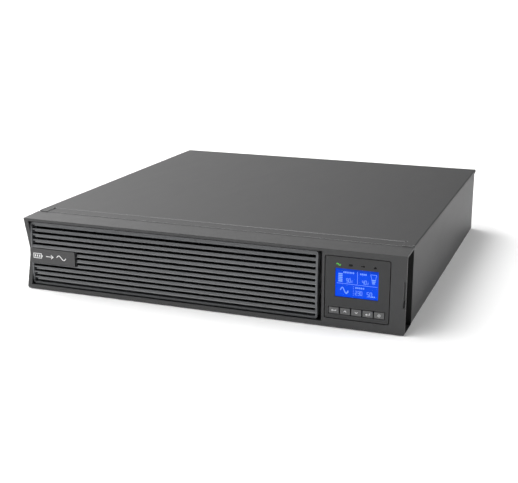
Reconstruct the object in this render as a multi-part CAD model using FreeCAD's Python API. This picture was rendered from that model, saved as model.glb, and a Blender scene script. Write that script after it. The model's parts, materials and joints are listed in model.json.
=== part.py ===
import FreeCAD, Part
import math
import os

# Uninterruptible power supply in a low two-unit rack case, lying flat.
# Millimetres. X runs across the case (right positive), Y from front to rear, Z up.
# The origin is the centre of the case's footprint, on the floor.

V = FreeCAD.Vector
X_AXIS = V(1, 0, 0)
Y_AXIS = V(0, 1, 0)
Z_AXIS = V(0, 0, 1)

# ---------------------------------------------------------------- the case
WIDTH = 438.0
DEPTH = 448.0
HEIGHT = 85.0
SHEET = 1.2
BEND_RADIUS = 1.2
COVER_FLANGE = 4.0            # height of the cover's turned-down sides
COVER_SIDE_GAP = 0.2
REAR_INSET = 5.0              # the rear panel sits this far inside the case edge
JOGGLE_LENGTH = 16.0          # lowered front strip of the cover
JOGGLE_DROP = 0.55
JOGGLE_SLOPE = 0.7            # run of the step down to the front strip
JOGGLE_END_MARGIN = 12.4
RELIEF_RADIUS = 1.7
RELIEF_OVERHANG = 0.4         # relief holes' centres past the strip's ends
CORNER_NOTCH = 2.6
COVER_TAB_WIDTH = 10.0
COVER_TAB_HEIGHT = 9.0
COVER_SCREW_DROP = 5.4
COVER_SCREW_LEFT = 40.0       # first screw from the case's left side
COVER_TAB_SIDE_GAP = 1.4
BITE = 0.5                    # how far the pieces of one solid run into each other

# ---------------------------------------------------------------- the front bezel
BEZEL_DEPTH = 31.0
BEZEL_WALL = 2.4
BEZEL_LOW_CORNER = 3.5
BEZEL_SEAM_DROP = 0.95        # the bezel's rear edge lies this far below the case's top
BEZEL_TOP_FALL = 1.9          # the front edge lies this far below the case's top
BEZEL_FRONT_RISE = 0.9        # the lower front edge is this far off the floor
BEZEL_REAR_RISE = 0.2
WAIST_DEPTH = 10.0            # how far the middle of the face lies behind its edges
CHEEK_WIDTH = 5.0
SHADOW_GAP = 5.6              # open groove between the louvre panel and the control section
CONTROL_BORDER = 3.5          # from the control section's left edge to the module
RIGHT_RECESS_DEPTH = 10.0
LEFT_RECESS_DEPTH = 2.2
RECESS_FRONT_SKIN = 2.2
RECESS_TOP_SKIN = 1.6
RECESS_LOW_SKIN = 1.9
RECESS_REAR_SKIN = 1.2
SIDE_WALL = 2.2
LATCH_SLOT_WIDTH = 2.0
LATCH_SLOT_HEIGHT = 27.0
LATCH_SLOT_EDGE = 1.0         # from the slot to the bezel's right edge

# ---------------------------------------------------------------- the side latches
LATCH_HEIGHT = 25.0
LATCH_LENGTH = 23.5
LATCH_SET_BACK = 3.6          # behind the bezel's front face
LATCH_OUT = 5.0               # the tab's face lies this far inside the case's side line
LATCH_TRAVEL = 1.5
LATCH_STEM = 7.0
LATCH_STEM_INSET = 1.5        # stem to the seam with the case
LATCH_STEM_REACH = 6.0
LATCH_CLEARANCE = 0.3
LATCH_RISE = 2.5              # above the face's middle
LATCH_EDGE_RADIUS = 1.0
LATCH_SLOT_RISE = 1.2

# ---------------------------------------------------------------- the louvre panel
PANEL_SET_BACK = 4.0
PANEL_DEPTH = 12.0
PANEL_GAP = 0.3
PANEL_RIM = 2.3
PANEL_RIM_LEFT = 1.8
RIM_SET_BACK = 0.4            # the rim's front lies this far behind the slats' edges
PANEL_LIP_TOP = 3.4           # bezel lip above the panel's opening
PANEL_TOP_GAP = 1.9           # from the lip down to the panel
PANEL_LIP_BOTTOM = 4.5        # bezel lip below the panel
PANEL_CORNER = 3.0
TOP_BAND = 4.0
BOTTOM_BAND = 2.4
GAP_COUNT = 11
GAP_HEIGHT = 3.3
SLAT_DEPTH = 6.0
SLAT_TAIL = 1.2
SLAT_TAIL_RISE = 0.7
SLAT_LIP = 0.8                # sloped lip along each slat's lower front edge
SLAT_LEAN = 0.35              # of the face above the lip, on the middle slat
SLAT_TURN = 0.35              # upper slats lean more than this middle one, lower slats less
SLAT_EDGE = 1.0               # flat top of each slat
SLAT_ROOT = 1.2               # how far the slats' ends run into the rim
FACE_CROWN = 1.6              # the middle slats stand proud of the outer ones
END_NOTCH_WIDTH = 4.0
END_NOTCH_HEIGHT = 1.4
BADGE_WIDTH = 56.5
BADGE_HEIGHT = 16.9
BADGE_DROP = 2.35             # badge centre below the panel's centre
BADGE_OVERHANG = 1.4          # past the panel's left edge
BADGE_PROUD = 0.6             # in front of the panel's set-back plane
BADGE_THICKNESS = 2.0
BADGE_SIDE_GAP = 3.0
BADGE_BACKING = 4.0
BADGE_LAP = 1.0               # the backing reaches past the badge
BADGE_CORNER = 0.4

# ---------------------------------------------------------------- the control module
MODULE_SIZE = 66.4
MODULE_RIGHT_MARGIN = 16.8    # module to the bezel's right edge
MODULE_LOW_MARGIN = 10.6
MODULE_TRIM = 1.0             # the module is this much lower than it is wide
MODULE_GAP = 0.8
MODULE_CORNER = 1.6
MODULE_SET_BACK = 0.2
MODULE_DEPTH = 20.0
MODULE_FACE = 2.2
MODULE_WALL = 1.6
MODULE_BACK = 1.5
SLEEVE_WALL = 1.5
SCREEN_SIDE_MARGIN = 10.95    # screen to the module's sides, on average
SCREEN_SHIFT = -0.5
SCREEN_LOW = 23.2             # screen's lower edge above the module's lower edge
SCREEN_DROP = 11.9            # screen's upper edge below the module's upper edge
SCREEN_CLEARANCE = 0.1
BOARD_SIDE_GAP = 0.2
LENS_SET_BACK = 0.7
LENS_THICKNESS = 1.3
DISPLAY_MARGIN = 2.0
DISPLAY_THICKNESS = 7.0
BOARD_THICKNESS = 1.6
LIGHT_WIDTH = 4.6
LIGHT_HEIGHT = 2.4
LIGHT_MARGIN = 14.4           # outer light centres to the module's sides
LIGHT_DROP = 7.9              # light centres below the module's upper edge
LIGHT_SHIFT = -0.7
LIGHT_COUNT = 4
LIGHT_CORNER = 0.6
LIGHT_CLEARANCE = 0.05
BUTTON_COUNT = 5
BUTTON_SIDE_MARGIN = 4.5      # outer buttons to the module's sides
BUTTON_SPACING = 1.4
BUTTON_HEIGHT = 6.6
BUTTON_LOW = 5.0              # buttons' lower edge above the module's lower edge
BUTTON_CLEARANCE = 0.7
BUTTON_TRAVEL = 0.8
BUTTON_FLANGE = 1.2
BUTTON_FLANGE_GAP = 0.1
BUTTON_CORNER = 0.5
BUTTON_LENGTH = 5.0
SWITCH_SIZE = 5.0
SWITCH_STEM = 1.0
SWITCH_GAP = 0.1

# ---------------------------------------------------------------- the battery pack
BATTERY_LENGTH = 151.0
BATTERY_WIDTH = 94.0
BATTERY_HEIGHT = 65.0
BATTERY_WALL = 2.5
BATTERY_CORNER = 2.0
BATTERY_GAP = 1.0
TERMINAL_CHANNEL = 12.0
PACK_SLACK = 0.5
PACK_LEFT_MARGIN = 5.6        # pack to the case's left side
PACK_FRONT_GAP = 1.0
PACK_RISE = 6.0               # pack floor off the ground
PACK_SIDE_HEIGHT = 25.0
PACK_FRONT_HEIGHT = 66.0
RAIL_WIDTH = 14.0
RAIL_CLEARANCE = 0.1
RAIL_INSET = 20.0             # rails to the pack's sides
HANDLE_LENGTH = 84.0
HANDLE_BAR = 7.0
HANDLE_ROUND = 2.1
HANDLE_REACH = 14.0
HANDLE_RISE = 0.62            # share of the battery's height
HANDLE_LEG_INSET = 0.5
TAB_WIDTH = 6.3
TAB_THICKNESS = 0.8
TAB_LENGTH = 5.0
TAB_END_OFFSET = 15.0
TAB_RISE = 0.75               # share of the battery's height
LEAD_RADIUS = 2.2
LEAD_CLEARANCE = 0.1
LEAD_BEND = 9.0
PLUG_WIDTH = 30.0
PLUG_HEIGHT = 16.0
PLUG_LENGTH = 13.5
PLUG_GAP = 0.3
PLUG_CORNER = 1.5
PLUG_RISE = 6.0               # above the pack's underside
LEAD_SPACING = 7.0
PLUG_SIDE_OFFSET = 10.0       # plug to the divider wall
SOCKET_LENGTH = 14.0
DIVIDER_GAP = 2.6
DIVIDER_OVERRUN = 4.0         # behind the pack
DIVIDER_FOOT = 4.0

# ---------------------------------------------------------------- boards and power parts
STANDOFF_HEIGHT = 8.0
STANDOFF_RADIUS = 3.0
STANDOFF_SIDE = 8.0           # posts to the board's sides
STANDOFF_END = 10.0           # posts to the board's ends
MAIN_BOARD_MARGIN = 6.0
MAIN_BOARD_FRONT = 29.0       # behind the case's front edge
MAIN_BOARD_LENGTH = 330.0
SINK_LENGTH = 210.0
SINK_HEIGHT = 58.0
SINK_BASE = 5.0
SINK_FIN = 1.6
SINK_FIN_REACH = 24.0
SINK_FIN_COUNT = 7
SINK_FRONT = 70.0
SINK_SIDE_MARGIN = 14.0
TRANSISTOR_SIZE = (5.0, 16.0, 21.0)
TRANSISTOR_RISE = 6.0
TRANSISTOR_COUNT = 5
CAPACITOR_RADIUS = 15.0
CAPACITOR_HEIGHT = 50.0
CAPACITOR_COUNT = 5
CAPACITOR_PITCH = 34.0
CAPACITOR_START = 18.0        # first can behind the heat sinks' front ends
CAPACITOR_EDGE = 1.5
TRANSFORMER_SIZE = (54.0, 42.0, 50.0)
TRANSFORMER_LEG = 11.0
TRANSFORMER_START = 12.0      # behind the board's front edge
TRANSFORMER_RISE = 4.0
COIL_CLEARANCE = 0.3
COIL_OVERHANG = 5.0
COIL_CORNER = 4.0
CHOKE_RADIUS = 19.0
CHOKE_BORE = 8.0
CHOKE_WIDTH = 18.0
CHOKE_COUNT = 2
CHOKE_PITCH = 52.0
CHOKE_START = 8.0             # first choke behind the first capacitor
CHOKE_EDGE = 3.0
CAPACITOR_SHARE = 0.45        # of the free width, between the capacitors and the left fins
CHOKE_SHARE = 0.33            # of the free width, between the chokes and the right fins
RELAY_SIZE = (13.0, 29.0, 16.0)
RELAY_COUNT = 4
RELAY_PITCH = 33.0
RELAY_LEFT = 60.0             # first relay left of the board's middle
RELAY_REAR_MARGIN = 8.0
RELAY_CORNER = 1.0
VENT_COLUMNS = 12
VENT_ROWS = 3
VENT_WIDTH = 3.0
VENT_HEIGHT = 16.0
VENT_LEFT_MARGIN = 8.0        # vents to the battery socket
VENT_RIGHT_MARGIN = 12.0      # vents to the case's inner side

# ---------------------------------------------------------------- fans
FAN_SIZE = 80.0
FAN_DEPTH = 25.0
FAN_CORNER = 5.0
FAN_WALL = 2.2
FAN_HOLE_INSET = 4.25         # screw holes to the frame's sides
FAN_HOLE_RADIUS = 2.1
FAN_SIDE_MARGIN = 12.0        # right fan to the case's inner side
FAN_SPACING = 6.0
HUB_RADIUS = 17.0
HUB_LENGTH = 17.0
HUB_FACE = 3.0
HUB_WALL = 2.0
HUB_EDGE = 1.5
TIP_CLEARANCE = 1.0
BLADE_COUNT = 7
BLADE_ANGLE = 38.0
BLADE_THICKNESS = 1.4
BLADE_CHORD = 19.0
BLADE_END_INSET = 0.5         # blades to the hub's ends
ARM_WIDTH = 5.0
ARM_THICKNESS = 3.0
BEARING_RADIUS = 4.0
BEARING_LENGTH = 9.0
BEARING_BORE_DEPTH = 11.0
SHAFT_RADIUS = 1.5
SHAFT_CLEARANCE = 0.05
HUB_GAP = 0.6
GUARD_WIRE = 1.6
GUARD_RING_COUNT = 4
GUARD_RING_PITCH = 8.5
GUARD_RING_INSET = 0.8        # outer ring inside the fan's bore
GUARD_EAR_MARGIN = 0.6        # ears past the screw heads
FAN_SCREW_LENGTH = 12.0
FAN_SCREW_CLEARANCE = 0.1

# ---------------------------------------------------------------- rear connectors
PORT_LOW_ROW = 24.0
PORT_HIGH_ROW = 58.0
SOCKET_WIDTH = 30.0
SOCKET_HEIGHT = 24.0
SOCKET_BODY_WIDTH = 27.0
SOCKET_BODY_HEIGHT = 20.0
SOCKET_FLANGE = 2.0
SOCKET_DEPTH = 22.0
SOCKET_CAVITY_DEPTH = 16.0
SOCKET_CAVITY_WIDTH = 24.0
SOCKET_CAVITY_HEIGHT = 16.6
SOCKET_CORNER = 1.5
SOCKET_CHAMFER = 4.5
ISLAND_WIDTH = 19.4
ISLAND_HEIGHT = 12.0
ISLAND_CHAMFER = 3.5
ISLAND_SET_BACK = 0.4
CONTACT_WIDTH = 2.6
CONTACT_HEIGHT = 4.8
CONTACT_FLOOR = 2.0
PIN_SPREAD = 7.0
PIN_RISE = 2.0
PIN_WIDTH = 2.0
PIN_HEIGHT = 4.0
PIN_SET_BACK = 0.5
OUTLET_PITCH = 34.5
OUTLET_COLUMNS = 3
INLET_MARGIN = 19.0           # inlet centre to the case's inner side
OUTLET_MARGIN = 54.0
HOLE_FIT = 0.2
BREAKER_RADIUS = 8.0
BREAKER_BEZEL = 10.0
BREAKER_BUTTON_RADIUS = 4.5
BREAKER_CLEARANCE = 0.3
BREAKER_STAND = 2.4
BREAKER_TRAVEL = 2.0
BREAKER_BORE_DEPTH = 10.0
BREAKER_END_GAP = 0.5
BREAKER_EDGE = 0.8
CARD_WIDTH = 70.0
CARD_HEIGHT = 34.0
CARD_LAP_SIDE = 10.0          # the cover laps its opening by this much at each end
CARD_LAP_EDGE = 4.0
CARD_SCREW_INSET = 5.0
CARD_CORNER = 1.0
CARD_FROM_FANS = 10.0
NETWORK_WIDTH = 32.0
NETWORK_HEIGHT = 14.0
NETWORK_FROM_CARD = 1.0
SMALL_PORT_DROP = 4.0         # data ports sit below the mains sockets' low row
PORT_DEPTH = 12.0
PORT_PROUD = 1.2
PORT_FLOOR = 2.0
# Name, centre right of the card slot's left edge, then width and height of shell, mouth and tongue.
DATA_PORTS = (
    ("stop", 9.0, (9.0, 10.0), (7.2, 8.0), (1.2, 9.0)),
    ("usb", 26.0, (12.0, 11.0), (8.4, 7.8), (5.6, 3.2)),
    ("serial", 54.0, (31.0, 12.5), (16.8, 8.4), (14.0, 5.6)),
)
JACK_SPACING = 16.0
JACK_WIDTH = 11.8
JACK_TOP = 4.5
JACK_LOW = -4.0
LATCH_WAY_WIDTH = 6.0         # groove for a network plug's clip
LATCH_WAY_LOW = -5.8
SCREW_HEAD_RADIUS = 3.0
SCREW_HEAD_HEIGHT = 1.8
SCREW_SHANK_RADIUS = 1.5
SCREW_LENGTH = 6.0
SCREW_HOLE_RADIUS = 1.6
SCREW_SLOT = 0.7
SCREW_SLOT_REACH = 0.6        # share of the head's radius
SCREW_SLOT_DEPTH = 0.9
SCREW_EDGE = 0.6
EARTH_RADIUS = 1.65
EARTH_BOSS_RADIUS = 4.0
EARTH_BOSS_LENGTH = 3.0
OUTLET_BOARD_MARGIN = 6.0

# ---------------------------------------------------------------- derived places
FRONT = -DEPTH / 2
REAR = DEPTH / 2
HALF = WIDTH / 2
SEAM = FRONT + BEZEL_DEPTH                     # where the bezel meets the case
INNER_TOP = HEIGHT - SHEET
TRAY_HALF = HALF - SHEET - COVER_SIDE_GAP
INNER_HALF = TRAY_HALF - SHEET
REAR_FACE = REAR - REAR_INSET
REAR_INNER = REAR_FACE - SHEET
FACE_TOP = HEIGHT - BEZEL_TOP_FALL
BEZEL_REAR_TOP = HEIGHT - BEZEL_SEAM_DROP
FACE_LOW = BEZEL_FRONT_RISE
FACE_MIDDLE = (FACE_TOP + FACE_LOW) / 2
MODULE_RIGHT = HALF - MODULE_RIGHT_MARGIN
MODULE_LEFT = MODULE_RIGHT - MODULE_SIZE
CONTROL_LEFT = MODULE_LEFT - CONTROL_BORDER
PANEL_LEFT = -HALF + CHEEK_WIDTH + PANEL_GAP
PANEL_RIGHT = CONTROL_LEFT - SHADOW_GAP
LIP_LOW = FACE_TOP - PANEL_LIP_TOP
PANEL_TOP = LIP_LOW - PANEL_TOP_GAP
PANEL_LOW = FACE_LOW + PANEL_LIP_BOTTOM
PANEL_MIDDLE = (PANEL_TOP + PANEL_LOW) / 2
PANEL_FRONT = FRONT + PANEL_SET_BACK
PANEL_REAR = PANEL_FRONT + PANEL_DEPTH
TOP_GAP = PANEL_TOP - TOP_BAND                 # upper edge of the highest gap
LOW_GAP = PANEL_LOW + BOTTOM_BAND + GAP_HEIGHT  # upper edge of the lowest gap
GAP_PITCH = (TOP_GAP - LOW_GAP) / (GAP_COUNT - 1)
BADGE_LOW = PANEL_MIDDLE - BADGE_DROP - BADGE_HEIGHT / 2
BADGE_TOP = BADGE_LOW + BADGE_HEIGHT
BADGE_RIGHT = PANEL_LEFT + BADGE_WIDTH
BADGE_FRONT = PANEL_FRONT - BADGE_PROUD
BADGE_LEFT = PANEL_LEFT - BADGE_OVERHANG
BADGE_REAR = BADGE_FRONT + BADGE_THICKNESS

MODULE_LOW = MODULE_LOW_MARGIN
MODULE_TOP = MODULE_LOW + MODULE_SIZE - MODULE_TRIM
MODULE_FRONT = FRONT + MODULE_SET_BACK
MODULE_INNER = MODULE_FRONT + MODULE_FACE
MODULE_REAR = MODULE_FRONT + MODULE_DEPTH
SCREEN_LEFT = MODULE_LEFT + SCREEN_SIDE_MARGIN + SCREEN_SHIFT
SCREEN_RIGHT = MODULE_RIGHT - SCREEN_SIDE_MARGIN + SCREEN_SHIFT
SCREEN_BOTTOM = MODULE_LOW + SCREEN_LOW
SCREEN_TOP = MODULE_TOP - SCREEN_DROP
MODULE_BOARD_FRONT = MODULE_INNER + DISPLAY_THICKNESS
BUTTON_FRONT = FRONT
BUTTON_BACK = BUTTON_FRONT + BUTTON_LENGTH
BUTTON_BOTTOM = MODULE_LOW + BUTTON_LOW
BUTTON_ROW = MODULE_SIZE - 2 * BUTTON_SIDE_MARGIN
BUTTON_PITCH = (BUTTON_ROW + BUTTON_SPACING) / BUTTON_COUNT
BUTTON_WIDTH = BUTTON_PITCH - BUTTON_SPACING
LIGHT_PITCH = (MODULE_SIZE - 2 * LIGHT_MARGIN) / (LIGHT_COUNT - 1)

PACK_LEFT = -TRAY_HALF + PACK_LEFT_MARGIN
PACK_INNER_WIDTH = 2 * BATTERY_WIDTH + TERMINAL_CHANNEL + 2 * PACK_SLACK
PACK_RIGHT = PACK_LEFT + PACK_INNER_WIDTH + 2 * SHEET
PACK_FRONT = SEAM + PACK_FRONT_GAP
PACK_REAR = PACK_FRONT + 2 * BATTERY_LENGTH + BATTERY_GAP + 2 * PACK_SLACK + 2 * SHEET
PACK_FLOOR = PACK_RISE + SHEET
CHANNEL_MIDDLE = PACK_LEFT + SHEET + PACK_SLACK + BATTERY_WIDTH + TERMINAL_CHANNEL / 2
DIVIDER_LEFT = PACK_RIGHT + DIVIDER_GAP
DIVIDER_RIGHT = DIVIDER_LEFT + SHEET
PLUG_LEFT = DIVIDER_RIGHT + PLUG_SIDE_OFFSET
PLUG_LOW = PACK_RISE + PLUG_RISE
PLUG_MIDDLE = PLUG_LOW + PLUG_HEIGHT / 2

BOARD_LOW = SHEET + STANDOFF_HEIGHT
BOARD_TOP = BOARD_LOW + BOARD_THICKNESS
BOARD_LEFT = DIVIDER_RIGHT + MAIN_BOARD_MARGIN
BOARD_RIGHT = INNER_HALF - MAIN_BOARD_MARGIN
BOARD_FRONT = SEAM + MAIN_BOARD_FRONT
BOARD_REAR = BOARD_FRONT + MAIN_BOARD_LENGTH

FAN_FRONT = REAR_INNER - FAN_DEPTH
FAN_MIDDLE_Z = SHEET + (INNER_TOP - SHEET) / 2
FAN_RIGHT_X = INNER_HALF - FAN_SIDE_MARGIN - FAN_SIZE / 2
FAN_CENTRES = {"right": FAN_RIGHT_X, "left": FAN_RIGHT_X - FAN_SIZE - FAN_SPACING}
FAN_BORE_RADIUS = FAN_SIZE / 2 - FAN_WALL
FAN_HOLE_SPACING = FAN_SIZE - 2 * FAN_HOLE_INSET
ROTOR_REAR = REAR_INNER - ARM_THICKNESS - HUB_GAP
ROTOR_FRONT = ROTOR_REAR - HUB_LENGTH

INLET_X = -INNER_HALF + INLET_MARGIN
OUTLET_XS = [-INNER_HALF + OUTLET_MARGIN + OUTLET_PITCH * i for i in range(OUTLET_COLUMNS)]
CARD_RIGHT = FAN_CENTRES["left"] - FAN_SIZE / 2 - CARD_FROM_FANS
CARD_LEFT = CARD_RIGHT - CARD_WIDTH
OUTLET_BOARD_FRONT = REAR_FACE - SOCKET_DEPTH - BOARD_THICKNESS
NETWORK_X = CARD_LEFT - NETWORK_WIDTH / 2 - NETWORK_FROM_CARD
SMALL_PORT_ROW = PORT_LOW_ROW - SMALL_PORT_DROP
COVER_SCREWS = [
    (x, HEIGHT - COVER_SCREW_DROP)
    for x in (
        -HALF + COVER_SCREW_LEFT,
        (CARD_LEFT + CARD_RIGHT) / 2,
        INNER_HALF - COVER_TAB_WIDTH / 2 - COVER_TAB_SIDE_GAP,
    )
]
LATCH_Z = FACE_MIDDLE + LATCH_RISE
LATCH_Y = SEAM - LATCH_STEM_INSET - LATCH_STEM / 2
PLUG_REAR = SEAM - PLUG_GAP
PLUG_FRONT = PLUG_REAR - PLUG_LENGTH


# ---------------------------------------------------------------- shape helpers
def box(x0, x1, y0, y1, z0, z1):
    return Part.makeBox(x1 - x0, y1 - y0, z1 - z0, V(x0, y0, z0))


def prism(outline, x0, x1):
    """A closed (y, z) outline carried along X."""
    points = [V(x0, y, z) for y, z in outline]
    wire = Part.makePolygon(points + points[:1])
    return Part.Face(wire).extrude(V(x1 - x0, 0, 0))


def rod(x, y, z, radius, length, axis):
    return Part.makeCylinder(radius, length, V(x, y, z), axis)


def tube_ring(x, y, z, outer, inner, length, axis):
    whole = rod(x, y, z, outer, length, axis)
    return whole.cut(rod(x, y, z, inner, length, axis))


def along(edge, axis):
    """True where a straight edge runs along an axis."""
    start, end = edge.Vertexes[0].Point, edge.Vertexes[-1].Point
    step = end - start
    return step.Length > 0 and step.cross(axis).Length < 1e-6 * step.Length


def round_edges(shape, axis, radius):
    return shape.makeFillet(radius, [e for e in shape.Edges if along(e, axis)])


def slab(x0, x1, y0, y1, z0, z1, radius):
    """A box with its four edges along Y rounded."""
    return round_edges(box(x0, x1, y0, y1, z0, z1), Y_AXIS, radius)


def fuse(pieces):
    whole = pieces[0]
    if len(pieces) > 1:
        whole = whole.fuse(pieces[1:])
    return whole.removeSplitter()


def carve(shape, tools):
    return shape.cut(tools) if tools else shape


def bent_tube(points, radius, bend):
    """A round tube along straight runs joined by tangent arcs."""
    corners = [V(*p) for p in points]
    edges = []
    start = corners[0]
    for before, corner, after in zip(corners, corners[1:], corners[2:]):
        incoming = (corner - before).normalize()
        outgoing = (after - corner).normalize()
        turn = incoming.getAngle(outgoing)
        reach = bend * math.tan(turn / 2)
        enter = corner - incoming * reach
        leave = corner + outgoing * reach
        inward = (outgoing - incoming).normalize()
        middle = corner + inward * (bend / math.cos(turn / 2) - bend)
        edges.append(Part.LineSegment(start, enter).toShape())
        edges.append(Part.Arc(enter, middle, leave).toShape())
        start = leave
    edges.append(Part.LineSegment(start, corners[-1]).toShape())
    path = Part.Wire(edges)
    first = (corners[1] - corners[0]).normalize()
    section = Part.Wire([Part.Circle(corners[0], first, radius).toShape()])
    return path.makePipeShell([section], True, False)


def save(name, *pieces):
    """Write one node: a single solid, or a group of separate solids."""
    solids = [solid for piece in pieces for solid in piece.Solids]
    shape = solids[0] if len(solids) == 1 else Part.makeCompound(solids)
    shape.exportStep("parts/" + name + ".step")


# ---------------------------------------------------------------- sheet-metal case
def make_chassis_tray():
    floor = box(-TRAY_HALF, TRAY_HALF, SEAM, REAR, 0, INNER_TOP)
    tray = round_edges_low(floor).cut(
        box(-INNER_HALF, INNER_HALF, SEAM - 1, REAR + 1, SHEET, INNER_TOP + 1)
    )
    save("chassis_tray", tray)


def round_edges_low(block):
    """Round the two lower long edges, where the sheet is bent."""
    low = [e for e in block.Edges if along(e, Y_AXIS) and e.CenterOfMass.z < SHEET]
    return block.makeFillet(BEND_RADIUS, low)


def make_top_cover():
    block = box(-HALF, HALF, SEAM, REAR, HEIGHT - COVER_FLANGE, HEIGHT)
    high = [e for e in block.Edges if along(e, Y_AXIS) and e.CenterOfMass.z > INNER_TOP]
    block = block.makeFillet(BEND_RADIUS, high)
    under = box(-HALF + SHEET, HALF - SHEET, SEAM - 1, REAR + 1, 0, INNER_TOP)
    joggle_end = HALF - JOGGLE_END_MARGIN
    joggle_rear = SEAM + JOGGLE_LENGTH
    low = HEIGHT - JOGGLE_DROP
    joggle = prism(
        [(SEAM - 1, low), (joggle_rear, low), (joggle_rear + JOGGLE_SLOPE, HEIGHT),
         (joggle_rear + JOGGLE_SLOPE, HEIGHT + 1), (SEAM - 1, HEIGHT + 1)],
        -joggle_end, joggle_end)
    tools = [under, joggle]
    for side in (-1, 1):
        tools.append(
            rod(side * (joggle_end + RELIEF_OVERHANG), joggle_rear, INNER_TOP - 1, RELIEF_RADIUS,
                3 * SHEET, Z_AXIS)
        )
        inner, outer = sorted((side * (HALF - CORNER_NOTCH), side * (HALF + 1)))
        tools.append(box(inner, outer, SEAM - 1, SEAM + CORNER_NOTCH, 0, HEIGHT + 1))
    cover = carve(block, tools)
    half = COVER_TAB_WIDTH / 2
    tabs = [
        box(x - half, x + half, REAR_FACE, REAR_FACE + SHEET, HEIGHT - COVER_TAB_HEIGHT, INNER_TOP)
        for x, _ in COVER_SCREWS
    ]
    holes = [rod(x, REAR_FACE - 1, z, SCREW_HOLE_RADIUS, 3 * SHEET, Y_AXIS) for x, z in COVER_SCREWS]
    save("top_cover", carve(fuse([cover] + tabs), holes))


def fan_screw_places():
    half = FAN_HOLE_SPACING / 2
    return [
        (x + sx * half, FAN_MIDDLE_Z + sz * half)
        for x in FAN_CENTRES.values()
        for sx in (-1, 1)
        for sz in (-1, 1)
    ]


def card_screw_places():
    return [(CARD_LEFT + CARD_SCREW_INSET, PORT_HIGH_ROW), (CARD_RIGHT - CARD_SCREW_INSET, PORT_HIGH_ROW)]


def make_rear_panel():
    panel = box(-INNER_HALF, INNER_HALF, REAR_INNER, REAR_FACE, SHEET, INNER_TOP)
    boss = rod(NETWORK_X, REAR_INNER - EARTH_BOSS_LENGTH, PORT_HIGH_ROW, EARTH_BOSS_RADIUS,
               EARTH_BOSS_LENGTH + SHEET / 2, Y_AXIS)
    panel = fuse([panel, boss])
    deep = 4 * SHEET
    y0 = REAR_INNER - SHEET
    tools = [rod(NETWORK_X, REAR_INNER - 2 * EARTH_BOSS_LENGTH, PORT_HIGH_ROW, EARTH_RADIUS,
                 4 * EARTH_BOSS_LENGTH, Y_AXIS)]
    for x in FAN_CENTRES.values():
        tools.append(rod(x, y0, FAN_MIDDLE_Z, FAN_BORE_RADIUS, deep, Y_AXIS))
    for x, z in fan_screw_places():
        tools.append(rod(x, y0, z, FAN_HOLE_RADIUS, deep, Y_AXIS))
    for x, z in COVER_SCREWS + card_screw_places():
        tools.append(rod(x, y0, z, SCREW_HOLE_RADIUS, deep, Y_AXIS))
    for x, z in mains_places():
        tools.append(window(x, z, SOCKET_BODY_WIDTH, SOCKET_BODY_HEIGHT, y0, deep))
    for _, offset, shell, _, _ in DATA_PORTS:
        tools.append(window(CARD_LEFT + offset, SMALL_PORT_ROW, *shell, y0, deep))
    tools.append(window(NETWORK_X, SMALL_PORT_ROW, NETWORK_WIDTH, NETWORK_HEIGHT, y0, deep))
    tools.append(rod(INLET_X, y0, PORT_HIGH_ROW, BREAKER_RADIUS + HOLE_FIT, deep, Y_AXIS))
    card = (CARD_LEFT + CARD_RIGHT) / 2
    tools.append(window(card, PORT_HIGH_ROW, CARD_WIDTH - 2 * CARD_LAP_SIDE,
                        CARD_HEIGHT - 2 * CARD_LAP_EDGE, y0, deep))
    save("rear_panel", carve(panel, tools))


def window(x, z, width, height, y0, depth):
    """A cut-out for a fitting, a fit larger than the fitting."""
    w = width / 2 + HOLE_FIT
    h = height / 2 + HOLE_FIT
    return box(x - w, x + w, y0, y0 + depth, z - h, z + h)


def mains_places():
    return [(INLET_X, PORT_LOW_ROW)] + outlet_places()


def outlet_places():
    return [(x, z) for x in OUTLET_XS for z in (PORT_LOW_ROW, PORT_HIGH_ROW)]


def make_front_plate():
    plate = box(DIVIDER_LEFT, INNER_HALF, SEAM, SEAM + SHEET, SHEET, INNER_TOP)
    tools = [
        box(PLUG_LEFT - HOLE_FIT, PLUG_LEFT + PLUG_WIDTH + HOLE_FIT, SEAM - 1, SEAM + 2 * SHEET,
            PLUG_LOW - HOLE_FIT, PLUG_LOW + PLUG_HEIGHT + HOLE_FIT)
    ]
    left = PLUG_LEFT + PLUG_WIDTH + VENT_LEFT_MARGIN
    right = INNER_HALF - VENT_RIGHT_MARGIN
    column_pitch = (right - left) / VENT_COLUMNS
    row_pitch = (INNER_TOP - SHEET) / VENT_ROWS
    for column in range(VENT_COLUMNS):
        x = left + column_pitch * (column + 0.5)
        for row in range(VENT_ROWS):
            z = SHEET + row_pitch * (row + 0.5)
            tools.append(
                box(x - VENT_WIDTH / 2, x + VENT_WIDTH / 2, SEAM - 1, SEAM + 2 * SHEET,
                    z - VENT_HEIGHT / 2, z + VENT_HEIGHT / 2)
            )
    save("front_plate", carve(plate, tools))


def make_divider_wall():
    rear = PACK_REAR + DIVIDER_OVERRUN
    wall = box(DIVIDER_LEFT, DIVIDER_RIGHT, SEAM + SHEET, rear, SHEET, INNER_TOP)
    foot = box(DIVIDER_LEFT, DIVIDER_RIGHT + DIVIDER_FOOT, SEAM + SHEET, rear, SHEET, 2 * SHEET)
    save("divider_wall", fuse([wall, foot]))


def make_battery_rails():
    top = PACK_RISE - RAIL_CLEARANCE
    rails = []
    for x in (PACK_LEFT + RAIL_INSET, PACK_RIGHT - RAIL_INSET - RAIL_WIDTH):
        outer = box(x, x + RAIL_WIDTH, SEAM, PACK_REAR, SHEET, top)
        hollow = box(x + SHEET, x + RAIL_WIDTH - SHEET, SEAM - 1, PACK_REAR + 1, 0, top - SHEET)
        rails.append(outer.cut(hollow))
    save("battery_rails", *rails)


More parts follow.
